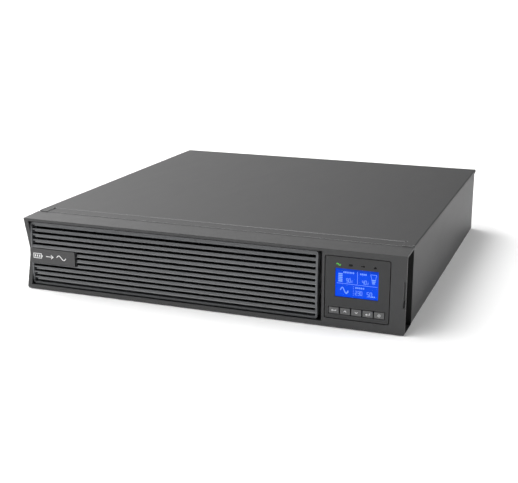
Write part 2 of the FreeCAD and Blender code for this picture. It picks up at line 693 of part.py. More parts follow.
# ---------------------------------------------------------------- front bezel
def waisted_outline(skin, rear, top_skin, low_skin):
    """The bezel's side view, set in from its outside by the given skins."""
    return [
        (FRONT + skin, FACE_LOW + low_skin),
        (FRONT + WAIST_DEPTH + skin, FACE_MIDDLE),
        (FRONT + skin, FACE_TOP - top_skin),
        (rear, BEZEL_REAR_TOP - top_skin),
        (rear, BEZEL_REAR_RISE + low_skin),
    ]


def flat_outline(skin, rear, top_skin, low_skin):
    return [
        (FRONT + skin, FACE_LOW + low_skin),
        (FRONT + skin, FACE_TOP - top_skin),
        (rear, BEZEL_REAR_TOP - top_skin),
        (rear, BEZEL_REAR_RISE + low_skin),
    ]


def make_front_bezel():
    beyond = SEAM + 1
    outer = fuse([
        prism(waisted_outline(0, SEAM, 0, 0), -HALF, CONTROL_LEFT + BITE),
        prism(flat_outline(0, SEAM, 0, 0), CONTROL_LEFT, HALF),
    ])
    outer = outer.common(slab(-HALF, HALF, FRONT - 1, beyond, 0, 2 * HEIGHT, BEZEL_LOW_CORNER))
    left_inner = -HALF + LEFT_RECESS_DEPTH + SIDE_WALL
    right_inner = HALF - RIGHT_RECESS_DEPTH - SIDE_WALL
    hollows = [
        prism(waisted_outline(BEZEL_WALL, beyond, BEZEL_WALL, BEZEL_WALL), left_inner, CONTROL_LEFT),
        prism(flat_outline(BEZEL_WALL, beyond, BEZEL_WALL, BEZEL_WALL),
              CONTROL_LEFT + BEZEL_WALL, right_inner),
    ]
    recess_rear = SEAM - RECESS_REAR_SKIN
    recess_right = flat_outline(RECESS_FRONT_SKIN, recess_rear, RECESS_TOP_SKIN, RECESS_LOW_SKIN)
    recess_left = waisted_outline(RECESS_FRONT_SKIN, recess_rear, RECESS_TOP_SKIN, RECESS_LOW_SKIN)
    hollows.append(prism(recess_right, HALF - RIGHT_RECESS_DEPTH, HALF + 1))
    hollows.append(prism(recess_left, -HALF - 1, -HALF + LEFT_RECESS_DEPTH))
    shell = carve(outer, hollows)
    gap = MODULE_GAP
    sleeve = slab(MODULE_LEFT - gap - SLEEVE_WALL, MODULE_RIGHT + gap + SLEEVE_WALL,
                  FRONT + BEZEL_WALL / 2, MODULE_REAR, MODULE_LOW - gap - SLEEVE_WALL,
                  MODULE_TOP + gap + SLEEVE_WALL, MODULE_CORNER + gap + SLEEVE_WALL)
    shell = fuse([shell, sleeve])
    slot_right = HALF - LATCH_SLOT_EDGE
    slot_middle = FACE_MIDDLE + LATCH_SLOT_RISE
    tools = [
        box(PANEL_LEFT - PANEL_GAP, CONTROL_LEFT, FRONT - 1, PANEL_REAR,
            PANEL_LOW - PANEL_GAP, LIP_LOW),
        slab(MODULE_LEFT - gap, MODULE_RIGHT + gap, FRONT - 1, MODULE_REAR + 1,
             MODULE_LOW - gap, MODULE_TOP + gap, MODULE_CORNER + gap),
        box(slot_right - LATCH_SLOT_WIDTH, slot_right, FRONT - 1, FRONT + 2 * RECESS_FRONT_SKIN,
            slot_middle - LATCH_SLOT_HEIGHT / 2, slot_middle + LATCH_SLOT_HEIGHT / 2),
    ]
    hole = LATCH_STEM / 2 + LATCH_CLEARANCE
    for inner, outer_x in latch_wall_spans():
        tools.append(box(inner - 1, outer_x + 1, LATCH_Y - hole, LATCH_Y + hole,
                         LATCH_Z - hole, LATCH_Z + hole))
    save("front_bezel", carve(shell, tools))


def latch_wall_spans():
    """The X span of each recess's inner wall: left, then right."""
    left = -HALF + LEFT_RECESS_DEPTH
    right = HALF - RIGHT_RECESS_DEPTH
    return [(left, left + SIDE_WALL), (right - SIDE_WALL, right)]


def make_side_latch(name, outer_x, wall_x, front):
    """A push tab in a side recess; its stem passes through the recess wall."""
    inner_x = wall_x + math.copysign(LATCH_TRAVEL + LATCH_CLEARANCE, outer_x)
    low, high = sorted((inner_x, outer_x))
    tab = box(low, high, front, front + LATCH_LENGTH, LATCH_Z - LATCH_HEIGHT / 2,
              LATCH_Z + LATCH_HEIGHT / 2)
    tab = round_edges(tab, X_AXIS, LATCH_EDGE_RADIUS)
    stem_end = wall_x - math.copysign(LATCH_STEM_REACH, outer_x)
    low, high = sorted((inner_x, stem_end))
    half = LATCH_STEM / 2
    stem = box(low, high, LATCH_Y - half, LATCH_Y + half, LATCH_Z - half, LATCH_Z + half)
    save(name, fuse([tab, stem]))


def make_side_latches():
    right_wall = HALF - RIGHT_RECESS_DEPTH
    make_side_latch("side_latch_right", HALF - LATCH_OUT, right_wall, FRONT + LATCH_SET_BACK)


# ---------------------------------------------------------------- louvre panel
def panel_reach(z):
    """Height on the panel: one at its top, nought at its middle, minus one at its foot."""
    return (z - PANEL_MIDDLE) / (PANEL_TOP - PANEL_MIDDLE)


def slat_front(z):
    """The slats' front edges follow a shallow crown, highest at the panel's middle."""
    return PANEL_FRONT + FACE_CROWN * (panel_reach(z) ** 2 - 0.5)


def slat_outline(low, high):
    """One slat from the side: a sloped lip, a face that leans back, and a tail that rises."""
    middle = (low + high) / 2
    front = slat_front(middle)
    rear = front + SLAT_DEPTH
    brow = front + SLAT_LIP + SLAT_LEAN + SLAT_TURN * panel_reach(middle)
    return [
        (front, low),
        (rear, low + SLAT_TAIL_RISE),
        (rear, low + SLAT_TAIL_RISE + SLAT_TAIL),
        (brow + SLAT_EDGE, high),
        (brow, high),
        (front + SLAT_LIP, low + SLAT_LIP),
    ]


def rim_outline():
    """The rim's side view: its front follows the slats' crown."""
    step = (PANEL_TOP - PANEL_LOW) / GAP_COUNT
    heights = [PANEL_LOW + step * i for i in range(GAP_COUNT + 1)]
    front = [(slat_front(z) + RIM_SET_BACK, z) for z in heights]
    return front + [(PANEL_REAR, PANEL_TOP), (PANEL_REAR, PANEL_LOW)]


def make_louvre_panel():
    left = PANEL_LEFT + PANEL_RIM_LEFT
    right = PANEL_RIGHT - PANEL_RIM
    rim = round_edges(prism(rim_outline(), PANEL_LEFT, PANEL_RIGHT), Y_AXIS, PANEL_CORNER)
    hole = box(left, right, FRONT, PANEL_REAR + 1, PANEL_LOW + BOTTOM_BAND, TOP_GAP)
    behind = box(left, right, PANEL_FRONT + 2 * SLAT_TAIL, PANEL_REAR + 1, TOP_GAP - 1,
                 PANEL_TOP - PANEL_RIM / 2)
    pieces = [carve(rim, [hole, behind])]
    for i in range(GAP_COUNT - 1):
        high = TOP_GAP - GAP_PITCH * i - GAP_HEIGHT
        low = TOP_GAP - GAP_PITCH * (i + 1)
        pieces.append(prism(slat_outline(low, high), left - SLAT_ROOT, right + SLAT_ROOT))
    panel = fuse(pieces)
    tools = [
        box(BADGE_LEFT, BADGE_RIGHT, FRONT, BADGE_REAR, BADGE_LOW, BADGE_TOP),
        box(BADGE_RIGHT, BADGE_RIGHT + BADGE_SIDE_GAP, FRONT, PANEL_REAR, BADGE_LOW, BADGE_TOP),
    ]
    for i in range(GAP_COUNT):
        high = TOP_GAP - GAP_PITCH * i
        if BADGE_LOW - 1 < high < BADGE_TOP + GAP_HEIGHT:
            continue
        tools.append(box(left, left + END_NOTCH_WIDTH, FRONT, PANEL_REAR, high - 0.1,
                         high + END_NOTCH_HEIGHT))
    panel = carve(panel, tools)
    backing = box(left - SLAT_ROOT, BADGE_RIGHT, BADGE_REAR, BADGE_REAR + BADGE_BACKING,
                  BADGE_LOW - BADGE_LAP, BADGE_TOP + BADGE_LAP)
    save("louvre_panel", fuse([panel, backing]))
    badge = slab(BADGE_LEFT, BADGE_RIGHT, BADGE_FRONT, BADGE_REAR, BADGE_LOW, BADGE_TOP, BADGE_CORNER)
    save("badge_plate", badge)


# ---------------------------------------------------------------- control module
def button_left(i):
    return MODULE_LEFT + BUTTON_SIDE_MARGIN + BUTTON_PITCH * i


def light_middle(i):
    return MODULE_LEFT + LIGHT_MARGIN + LIGHT_SHIFT + LIGHT_PITCH * i


def make_module_housing():
    block = slab(MODULE_LEFT, MODULE_RIGHT, MODULE_FRONT, MODULE_REAR, MODULE_LOW, MODULE_TOP,
                 MODULE_CORNER)
    wall = MODULE_WALL
    clear = BUTTON_CLEARANCE
    tools = [
        box(MODULE_LEFT + wall, MODULE_RIGHT - wall, MODULE_INNER, MODULE_REAR + 1,
            MODULE_LOW + wall, MODULE_TOP - wall),
        box(SCREEN_LEFT, SCREEN_RIGHT, FRONT - 1, MODULE_INNER + 1, SCREEN_BOTTOM, SCREEN_TOP),
        slab(button_left(0) - clear, button_left(BUTTON_COUNT - 1) + BUTTON_WIDTH + clear,
             FRONT - 1, MODULE_INNER + 1, BUTTON_BOTTOM - clear,
             BUTTON_BOTTOM + BUTTON_HEIGHT + clear, BUTTON_CORNER),
    ]
    for i in range(LIGHT_COUNT):
        tools.append(light_shape(i, FRONT - 1, MODULE_INNER + 1, 0.0))
    save("module_housing", carve(block, tools))


def light_shape(i, y0, y1, shrink):
    x = light_middle(i)
    z = MODULE_TOP - LIGHT_DROP
    w = LIGHT_WIDTH / 2 - shrink
    h = LIGHT_HEIGHT / 2 - shrink
    return slab(x - w, x + w, y0, y1, z - h, z + h, LIGHT_CORNER)


def make_module_parts():
    gap = SCREEN_CLEARANCE
    lens_front = MODULE_FRONT + LENS_SET_BACK
    save("display_lens", box(SCREEN_LEFT + gap, SCREEN_RIGHT - gap, lens_front,
                             lens_front + LENS_THICKNESS, SCREEN_BOTTOM + gap, SCREEN_TOP - gap))
    edge = DISPLAY_MARGIN
    save("display_panel", box(SCREEN_LEFT - edge, SCREEN_RIGHT + edge, MODULE_INNER,
                              MODULE_BOARD_FRONT, SCREEN_BOTTOM - edge, SCREEN_TOP + edge))
    inset = MODULE_WALL + BOARD_SIDE_GAP
    board = box(MODULE_LEFT + inset, MODULE_RIGHT - inset, MODULE_BOARD_FRONT,
                MODULE_BOARD_FRONT + BOARD_THICKNESS, MODULE_LOW + inset, MODULE_TOP - inset)
    switch_front = BUTTON_BACK + BUTTON_TRAVEL + SWITCH_GAP
    middle_z = BUTTON_BOTTOM + BUTTON_HEIGHT / 2
    switches = []
    for i in range(BUTTON_COUNT):
        x = button_left(i) + BUTTON_WIDTH / 2
        half = SWITCH_SIZE / 2
        body = box(x - half, x + half, switch_front + SWITCH_STEM, MODULE_BOARD_FRONT,
                   middle_z - half, middle_z + half)
        stem = rod(x, switch_front, middle_z, SWITCH_SIZE / 4, SWITCH_STEM + BITE, Y_AXIS)
        switches.append(fuse([body, stem]))
    save("display_board", board, *switches)
    save("module_back", slab(MODULE_LEFT, MODULE_RIGHT, MODULE_REAR, MODULE_REAR + MODULE_BACK,
                             MODULE_LOW, MODULE_TOP, MODULE_CORNER))
    for i, name in enumerate(("mains", "battery", "bypass", "fault")):
        save("indicator_" + name, light_shape(i, MODULE_FRONT + LIGHT_CLEARANCE, MODULE_BOARD_FRONT,
                                              LIGHT_CLEARANCE))


def make_buttons():
    for i, name in enumerate(("escape", "up", "down", "enter", "power")):
        x0 = button_left(i)
        x1 = x0 + BUTTON_WIDTH
        z0 = BUTTON_BOTTOM
        z1 = z0 + BUTTON_HEIGHT
        cap = slab(x0, x1, BUTTON_FRONT, BUTTON_BACK, z0, z1, BUTTON_CORNER)
        flange_front = MODULE_INNER + BUTTON_FLANGE_GAP
        flange = box(x0, x1, flange_front, flange_front + BUTTON_FLANGE, z0 - BUTTON_FLANGE,
                     z1 + BUTTON_FLANGE)
        save("button_" + name, fuse([cap, flange]))


# ---------------------------------------------------------------- battery pack
def battery_origins():
    """Lower left front corner of each battery, front pair first."""
    left = PACK_LEFT + SHEET + PACK_SLACK
    right = left + BATTERY_WIDTH + TERMINAL_CHANNEL
    first = PACK_FRONT + SHEET + PACK_SLACK
    second = first + BATTERY_LENGTH + BATTERY_GAP
    return [(left, first), (right, first), (left, second), (right, second)]


def make_battery_tray():
    low, floor = PACK_RISE, PACK_FLOOR
    side = floor + PACK_SIDE_HEIGHT
    pieces = [
        box(PACK_LEFT, PACK_RIGHT, PACK_FRONT, PACK_REAR, low, floor),
        box(PACK_LEFT, PACK_LEFT + SHEET, PACK_FRONT, PACK_REAR, low, side),
        box(PACK_RIGHT - SHEET, PACK_RIGHT, PACK_FRONT, PACK_REAR, low, side),
        box(PACK_LEFT, PACK_RIGHT, PACK_REAR - SHEET, PACK_REAR, low, side),
        box(PACK_LEFT, PACK_RIGHT, PACK_FRONT, PACK_FRONT + SHEET, low, floor + PACK_FRONT_HEIGHT),
    ]
    tools = []
    for z in lead_heights():
        tools.append(rod(CHANNEL_MIDDLE, PACK_FRONT - 1, z, LEAD_RADIUS + LEAD_CLEARANCE, 3 * SHEET,
                         Y_AXIS))
    save("battery_tray", carve(fuse(pieces), tools))


def lead_heights():
    return [PLUG_MIDDLE - LEAD_SPACING / 2, PLUG_MIDDLE + LEAD_SPACING / 2]


def make_pack_handle():
    middle = (PACK_LEFT + PACK_RIGHT) / 2
    z = PACK_FLOOR + BATTERY_HEIGHT * HANDLE_RISE
    half = HANDLE_LENGTH / 2
    front = PACK_FRONT - HANDLE_REACH
    bar = box(middle - half, middle + half, front, front + HANDLE_BAR, z - HANDLE_BAR / 2,
              z + HANDLE_BAR / 2)
    bar = round_edges(bar, X_AXIS, HANDLE_ROUND)
    inset = HANDLE_LEG_INSET
    legs = [
        box(x, x + HANDLE_BAR, front + HANDLE_BAR / 2, PACK_FRONT, z - HANDLE_BAR / 2 + inset,
            z + HANDLE_BAR / 2 - inset)
        for x in (middle - half + inset, middle + half - HANDLE_BAR - inset)
    ]
    save("pack_handle", fuse([bar] + legs))


def make_batteries():
    wall = BATTERY_WALL
    cells = []
    for number, (x, y) in enumerate(battery_origins(), start=1):
        x1, y1 = x + BATTERY_WIDTH, y + BATTERY_LENGTH
        z0, z1 = PACK_FLOOR, PACK_FLOOR + BATTERY_HEIGHT
        case = round_edges(box(x, x1, y, y1, z0, z1), X_AXIS, BATTERY_CORNER)
        hollow = box(x + wall, x1 - wall, y + wall, y1 - wall, z0 + wall, z1 - wall)
        save("battery_case_%d" % number, case.cut(hollow))
        cells.append(hollow)
    save("battery_cells", *cells)


def make_battery_terminals():
    """Flat tabs that stand out of each battery into the channel between the pairs."""
    tabs = []
    z = PACK_FLOOR + BATTERY_HEIGHT * TAB_RISE
    for x, y in battery_origins():
        faces_right = x < CHANNEL_MIDDLE - BATTERY_WIDTH / 2
        x0 = x + BATTERY_WIDTH if faces_right else x - TAB_LENGTH
        for offset in (TAB_END_OFFSET, BATTERY_LENGTH - TAB_END_OFFSET):
            y0 = y + offset - TAB_WIDTH / 2
            tabs.append(box(x0, x0 + TAB_LENGTH, y0, y0 + TAB_WIDTH, z, z + TAB_THICKNESS))
    save("battery_terminals", *tabs)


def make_battery_leads():
    run_y = PLUG_FRONT + PLUG_LENGTH / 2
    deep = PACK_FRONT + BATTERY_LENGTH
    leads = []
    for z in lead_heights():
        leads.append(bent_tube(
            [(CHANNEL_MIDDLE, deep, z), (CHANNEL_MIDDLE, run_y, z), (PLUG_LEFT, run_y, z)],
            LEAD_RADIUS, LEAD_BEND))
    save("battery_leads", *leads)


def make_battery_connectors():
    x1 = PLUG_LEFT + PLUG_WIDTH
    z1 = PLUG_LOW + PLUG_HEIGHT
    save("battery_plug", slab(PLUG_LEFT, x1, PLUG_FRONT, PLUG_REAR, PLUG_LOW, z1, PLUG_CORNER))
    save("battery_socket", slab(PLUG_LEFT, x1, SEAM, SEAM + SOCKET_LENGTH, PLUG_LOW, z1, PLUG_CORNER))


# ---------------------------------------------------------------- boards and power parts
def make_main_board():
    save("main_board", box(BOARD_LEFT, BOARD_RIGHT, BOARD_FRONT, BOARD_REAR, BOARD_LOW, BOARD_TOP))
    posts = []
    for x in (BOARD_LEFT + STANDOFF_SIDE, BOARD_RIGHT - STANDOFF_SIDE):
        for y in (BOARD_FRONT + STANDOFF_END, (BOARD_FRONT + BOARD_REAR) / 2, BOARD_REAR - STANDOFF_END):
            posts.append(rod(x, y, SHEET, STANDOFF_RADIUS, STANDOFF_HEIGHT, Z_AXIS))
    save("board_standoffs", *posts)


def sink_left(side):
    """Left face of a heat sink's base: one near each long edge of the board."""
    span = SINK_BASE + SINK_FIN_REACH
    if side == "left":
        return BOARD_LEFT + SINK_SIDE_MARGIN
    return BOARD_RIGHT - SINK_SIDE_MARGIN - span


def make_heat_sinks():
    y0 = BOARD_FRONT + SINK_FRONT
    transistors = []
    for side in ("left", "right"):
        x0 = sink_left(side)
        x1 = x0 + SINK_BASE + SINK_FIN_REACH
        mirrored = side == "right"
        base_x = x1 - SINK_BASE if mirrored else x0
        fin_x = x0 if mirrored else x0 + SINK_BASE - BITE
        pieces = [box(base_x, base_x + SINK_BASE, y0, y0 + SINK_LENGTH, BOARD_TOP,
                      BOARD_TOP + SINK_HEIGHT)]
        step = (SINK_HEIGHT - SINK_FIN) / (SINK_FIN_COUNT - 1)
        for i in range(SINK_FIN_COUNT):
            z = BOARD_TOP + step * i
            pieces.append(box(fin_x, fin_x + SINK_FIN_REACH + BITE, y0, y0 + SINK_LENGTH, z,
                              z + SINK_FIN))
        save("heat_sink_" + side, fuse(pieces))
        width, length, height = TRANSISTOR_SIZE
        pitch = SINK_LENGTH / TRANSISTOR_COUNT
        tx = base_x + SINK_BASE if mirrored else base_x - width
        for i in range(TRANSISTOR_COUNT):
            ty = y0 + pitch * (i + 0.5) - length / 2
            transistors.append(box(tx, tx + width, ty, ty + length, BOARD_TOP + TRANSISTOR_RISE,
                                   BOARD_TOP + TRANSISTOR_RISE + height))
    save("power_transistors", *transistors)


def board_middle():
    return (sink_left("left") + SINK_BASE + SINK_FIN_REACH + sink_left("right")) / 2


def make_power_parts():
    left_fins = sink_left("left") + SINK_BASE + SINK_FIN_REACH
    right_fins = sink_left("right")
    spare = right_fins - left_fins - 2 * CAPACITOR_RADIUS - 2 * CHOKE_RADIUS
    x = left_fins + spare * CAPACITOR_SHARE + CAPACITOR_RADIUS
    y0 = BOARD_FRONT + SINK_FRONT + CAPACITOR_START
    capacitors = []
    for i in range(CAPACITOR_COUNT):
        can = rod(x, y0 + CAPACITOR_PITCH * i, BOARD_TOP, CAPACITOR_RADIUS, CAPACITOR_HEIGHT, Z_AXIS)
        capacitors.append(can.makeFillet(CAPACITOR_EDGE, [can.Edges[0]]))
    save("bus_capacitors", *capacitors)
    width, length, height = TRANSFORMER_SIZE
    leg = TRANSFORMER_LEG
    tx = board_middle() - width / 2
    ty = BOARD_FRONT + TRANSFORMER_START
    low = BOARD_TOP + TRANSFORMER_RISE
    core = box(tx, tx + width, ty, ty + length, low, low + height)
    windows = [
        box(tx + leg, tx + width / 2 - leg / 2, ty - 1, ty + length + 1, low + leg, low + height - leg),
        box(tx + width / 2 + leg / 2, tx + width - leg, ty - 1, ty + length + 1, low + leg,
            low + height - leg),
    ]
    save("transformer_core", carve(core, windows))
    gap = COIL_CLEARANCE
    z0 = low + leg + gap
    z1 = low + height - leg - gap
    coil = round_edges(box(tx + leg + gap, tx + width - leg - gap, ty - COIL_OVERHANG,
                           ty + length + COIL_OVERHANG, z0, z1), Z_AXIS, COIL_CORNER)
    through = box(tx + width / 2 - leg / 2 - gap, tx + width / 2 + leg / 2 + gap, ty - gap,
                  ty + length + gap, z0 - 1, z1 + 1)
    save("transformer_winding", coil.cut(through))
    chokes = []
    for i in range(CHOKE_COUNT):
        cx = right_fins - spare * CHOKE_SHARE - CHOKE_RADIUS
        cy = y0 + CHOKE_START + CHOKE_PITCH * i
        ring = tube_ring(cx, cy, BOARD_TOP, CHOKE_RADIUS, CHOKE_BORE, CHOKE_WIDTH, Z_AXIS)
        chokes.append(ring.makeFillet(CHOKE_EDGE, [e for e in ring.Edges if e.Closed]))
    save("filter_chokes", *chokes)
    width, length, height = RELAY_SIZE
    relays = []
    for i in range(RELAY_COUNT):
        rx = board_middle() - RELAY_LEFT + RELAY_PITCH * i
        rear = BOARD_REAR - RELAY_REAR_MARGIN
        relays.append(round_edges(box(rx, rx + width, rear - length, rear, BOARD_TOP,
                                      BOARD_TOP + height), Z_AXIS, RELAY_CORNER))
    save("relays", *relays)


# ---------------------------------------------------------------- fans
def make_fan(side):
    x = FAN_CENTRES[side]
    z = FAN_MIDDLE_Z
    half = FAN_SIZE / 2
    frame = slab(x - half, x + half, FAN_FRONT, REAR_INNER, z - half, z + half, FAN_CORNER)
    tools = [rod(x, FAN_FRONT - 1, z, FAN_BORE_RADIUS, FAN_DEPTH + 2, Y_AXIS)]
    spread = FAN_HOLE_SPACING / 2
    for sx in (-1, 1):
        for sz in (-1, 1):
            tools.append(rod(x + sx * spread, FAN_FRONT - 1, z + sz * spread, FAN_HOLE_RADIUS,
                             FAN_DEPTH + 2, Y_AXIS))
    frame = carve(frame, tools)
    arm_y = REAR_INNER - ARM_THICKNESS
    reach = FAN_BORE_RADIUS + BITE
    arms = [
        box(x - reach, x + reach, arm_y, REAR_INNER, z - ARM_WIDTH / 2, z + ARM_WIDTH / 2),
        box(x - ARM_WIDTH / 2, x + ARM_WIDTH / 2, arm_y, REAR_INNER, z - reach, z + reach),
        rod(x, arm_y, z, HUB_RADIUS, ARM_THICKNESS, Y_AXIS),
        rod(x, arm_y - BEARING_LENGTH, z, BEARING_RADIUS, BEARING_LENGTH + BITE, Y_AXIS),
    ]
    frame = fuse([frame] + arms)
    bearing = rod(x, arm_y - BEARING_LENGTH - 1, z, SHAFT_RADIUS + SHAFT_CLEARANCE,
                  BEARING_BORE_DEPTH + 1, Y_AXIS)
    save("fan_frame_" + side, frame.cut(bearing))
    hub = rod(x, ROTOR_FRONT, z, HUB_RADIUS, HUB_LENGTH, Y_AXIS)
    hub = hub.makeFillet(HUB_EDGE, [e for e in hub.Edges if e.Closed and e.CenterOfMass.y < ROTOR_FRONT + 1])
    hollow = rod(x, ROTOR_FRONT + HUB_FACE, z, HUB_RADIUS - HUB_WALL, HUB_LENGTH, Y_AXIS)
    hub = hub.cut(hollow)
    tip = FAN_BORE_RADIUS - TIP_CLEARANCE
    blades = [fan_blade(x, z, i, tip) for i in range(BLADE_COUNT)]
    shaft = rod(x, ROTOR_FRONT + HUB_FACE - BITE, z, SHAFT_RADIUS, HUB_LENGTH - HUB_FACE + BITE, Y_AXIS)
    save("fan_rotor_" + side, fuse([hub, shaft] + blades))


def fan_blade(x, z, number, tip):
    """One flat blade, pitched about its own length and trimmed to the fan's bore."""
    middle_y = (ROTOR_FRONT + ROTOR_REAR) / 2
    inner = HUB_RADIUS - BITE
    blade = box(-BLADE_CHORD / 2, BLADE_CHORD / 2, -BLADE_THICKNESS / 2, BLADE_THICKNESS / 2,
                inner - BITE, tip + BLADE_CHORD / 2)
    blade.rotate(V(0, 0, 0), Z_AXIS, BLADE_ANGLE)
    blade.rotate(V(0, 0, 0), Y_AXIS, 360.0 / BLADE_COUNT * number)
    blade.translate(V(x, middle_y, z))
    reach = tube_ring(x, ROTOR_FRONT + BLADE_END_INSET, z, tip, inner, HUB_LENGTH - 2 * BLADE_END_INSET,
                      Y_AXIS)
    return blade.common(reach)


def guard_radii():
    outer = FAN_BORE_RADIUS - GUARD_RING_INSET
    return [outer - GUARD_RING_PITCH * i for i in range(GUARD_RING_COUNT)]


def make_fan_guards():
    guards = []
    wire = GUARD_WIRE
    for x in FAN_CENTRES.values():
        z = FAN_MIDDLE_Z
        rings = [
            tube_ring(x, REAR_FACE, z, r + wire / 2, r - wire / 2, wire, Y_AXIS) for r in guard_radii()
        ]
        spread = FAN_HOLE_SPACING / 2
        for turn in (45.0, 135.0):
            spoke = box(-math.hypot(spread, spread), math.hypot(spread, spread), REAR_FACE,
                        REAR_FACE + wire, -wire / 2, wire / 2)
            spoke.rotate(V(0, 0, 0), Y_AXIS, turn)
            spoke.translate(V(x, 0, z))
            rings.append(spoke)
        ears = []
        holes = []
        for sx in (-1, 1):
            for sz in (-1, 1):
                ex, ez = x + sx * spread, z + sz * spread
                ears.append(rod(ex, REAR_FACE, ez, SCREW_HEAD_RADIUS + GUARD_EAR_MARGIN, wire, Y_AXIS))
                holes.append(rod(ex, REAR_FACE - 1, ez, FAN_HOLE_RADIUS, 3 * wire, Y_AXIS))
        guards.append(carve(fuse(rings + ears), holes))
    save("fan_guards", *guards)


# ---------------------------------------------------------------- rear fittings
def socket_shell(x, z):
    """Flanged body of a mains inlet or outlet, with its cavity."""
    w, h = SOCKET_WIDTH / 2, SOCKET_HEIGHT / 2
    bw, bh = SOCKET_BODY_WIDTH / 2, SOCKET_BODY_HEIGHT / 2
    flange = slab(x - w, x + w, REAR_FACE, REAR_FACE + SOCKET_FLANGE, z - h, z + h, SOCKET_CORNER)
    body = box(x - bw, x + bw, REAR_FACE - SOCKET_DEPTH, REAR_FACE + BITE, z - bh, z + bh)
    mouth = REAR_FACE + SOCKET_FLANGE
    cw, ch = SOCKET_CAVITY_WIDTH / 2, SOCKET_CAVITY_HEIGHT / 2
    cavity = box(x - cw, x + cw, mouth - SOCKET_CAVITY_DEPTH, mouth + 1, z - ch, z + ch)
    corners = [e for e in cavity.Edges if along(e, Y_AXIS) and e.CenterOfMass.z > z]
    cavity = cavity.makeChamfer(SOCKET_CHAMFER, corners)
    return fuse([flange, body]).cut(cavity)


def pin_places(x, z):
    return [(x - PIN_SPREAD, z - PIN_RISE), (x + PIN_SPREAD, z - PIN_RISE), (x, z + PIN_RISE)]


def make_mains_sockets():
    floor = REAR_FACE + SOCKET_FLANGE - SOCKET_CAVITY_DEPTH
    x, z = INLET_X, PORT_LOW_ROW
    pins = [
        box(px - PIN_WIDTH / 2, px + PIN_WIDTH / 2, floor - BITE, REAR_FACE - PIN_SET_BACK,
            pz - PIN_HEIGHT / 2, pz + PIN_HEIGHT / 2)
        for px, pz in pin_places(x, z)
    ]
    save("power_inlet", fuse([socket_shell(x, z)] + pins))
    outlets = []
    for x, z in outlet_places():
        iw, ih = ISLAND_WIDTH / 2, ISLAND_HEIGHT / 2
        mouth = REAR_FACE + SOCKET_FLANGE
        island = box(x - iw, x + iw, floor - BITE, mouth - ISLAND_SET_BACK, z - ih, z + ih)
        corners = [e for e in island.Edges if along(e, Y_AXIS) and e.CenterOfMass.z > z]
        island = island.makeChamfer(ISLAND_CHAMFER, corners)
        slots = [
            box(px - CONTACT_WIDTH / 2, px + CONTACT_WIDTH / 2, floor + CONTACT_FLOOR, mouth + 1,
                pz - CONTACT_HEIGHT / 2, pz + CONTACT_HEIGHT / 2)
            for px, pz in pin_places(x, z)
        ]
        outlets.append(carve(fuse([socket_shell(x, z), island]), slots))
    save("outlet_sockets", *outlets)


def make_breaker():
    x, z = INLET_X, PORT_HIGH_ROW
    body = fuse([
        rod(x, REAR_FACE, z, BREAKER_BEZEL, SOCKET_FLANGE, Y_AXIS),
        rod(x, REAR_FACE - SOCKET_DEPTH, z, BREAKER_RADIUS, SOCKET_DEPTH + BITE, Y_AXIS),
    ])
    bore = BREAKER_BUTTON_RADIUS + BREAKER_CLEARANCE
    depth = BREAKER_BORE_DEPTH
    face = REAR_FACE + SOCKET_FLANGE
    save("breaker_body", body.cut(rod(x, face - depth, z, bore, depth + 1, Y_AXIS)))
    start = face - depth + BREAKER_TRAVEL + BREAKER_END_GAP
    end = face + BREAKER_STAND
    button = rod(x, start, z, BREAKER_BUTTON_RADIUS, end - start, Y_AXIS)
    rim = [e for e in button.Edges if e.Closed and e.CenterOfMass.y > face]
    button = button.makeFillet(BREAKER_EDGE, rim)
    save("breaker_button", button)


def make_data_ports():
    ports = []
    z = SMALL_PORT_ROW
    rear = REAR_FACE + PORT_PROUD
    front = REAR_FACE - PORT_DEPTH
    cavity_floor = front + PORT_FLOOR
    for _, offset, shell, mouth, tongue in DATA_PORTS:
        x = CARD_LEFT + offset
        block = port_block(x, z, shell, front, rear)
        opening = port_block(x, z, mouth, cavity_floor, rear + 1)
        inner = port_block(x, z, tongue, cavity_floor - BITE, REAR_FACE)
        ports.append(fuse([block.cut(opening), inner]))
    save("data_ports", *ports)
    block = port_block(NETWORK_X, z, (NETWORK_WIDTH, NETWORK_HEIGHT), front, rear)
    mouths = []
    for side in (-1, 1):
        x = NETWORK_X + side * JACK_SPACING / 2
        mouths.append(box(x - JACK_WIDTH / 2, x + JACK_WIDTH / 2, cavity_floor, rear + 1, z + JACK_LOW,
                          z + JACK_TOP))
        mouths.append(box(x - LATCH_WAY_WIDTH / 2, x + LATCH_WAY_WIDTH / 2, cavity_floor, rear + 1,
                          z + LATCH_WAY_LOW, z + JACK_LOW + BITE))
    save("network_jacks", carve(block, mouths))


def port_block(x, z, size, front, rear):
    """A block centred on a port, of the given width and height."""
    w, h = size[0] / 2, size[1] / 2
    return box(x - w, x + w, front, rear, z - h, z + h)


def make_card_slot_cover():
    z = PORT_HIGH_ROW
    h = CARD_HEIGHT / 2
    plate = slab(CARD_LEFT, CARD_RIGHT, REAR_FACE, REAR_FACE + SHEET, z - h, z + h, CARD_CORNER)
    holes = [rod(x, REAR_FACE - 1, hz, SCREW_HOLE_RADIUS, 4 * SHEET, Y_AXIS)
             for x, hz in card_screw_places()]
    save("card_slot_cover", carve(plate, holes))


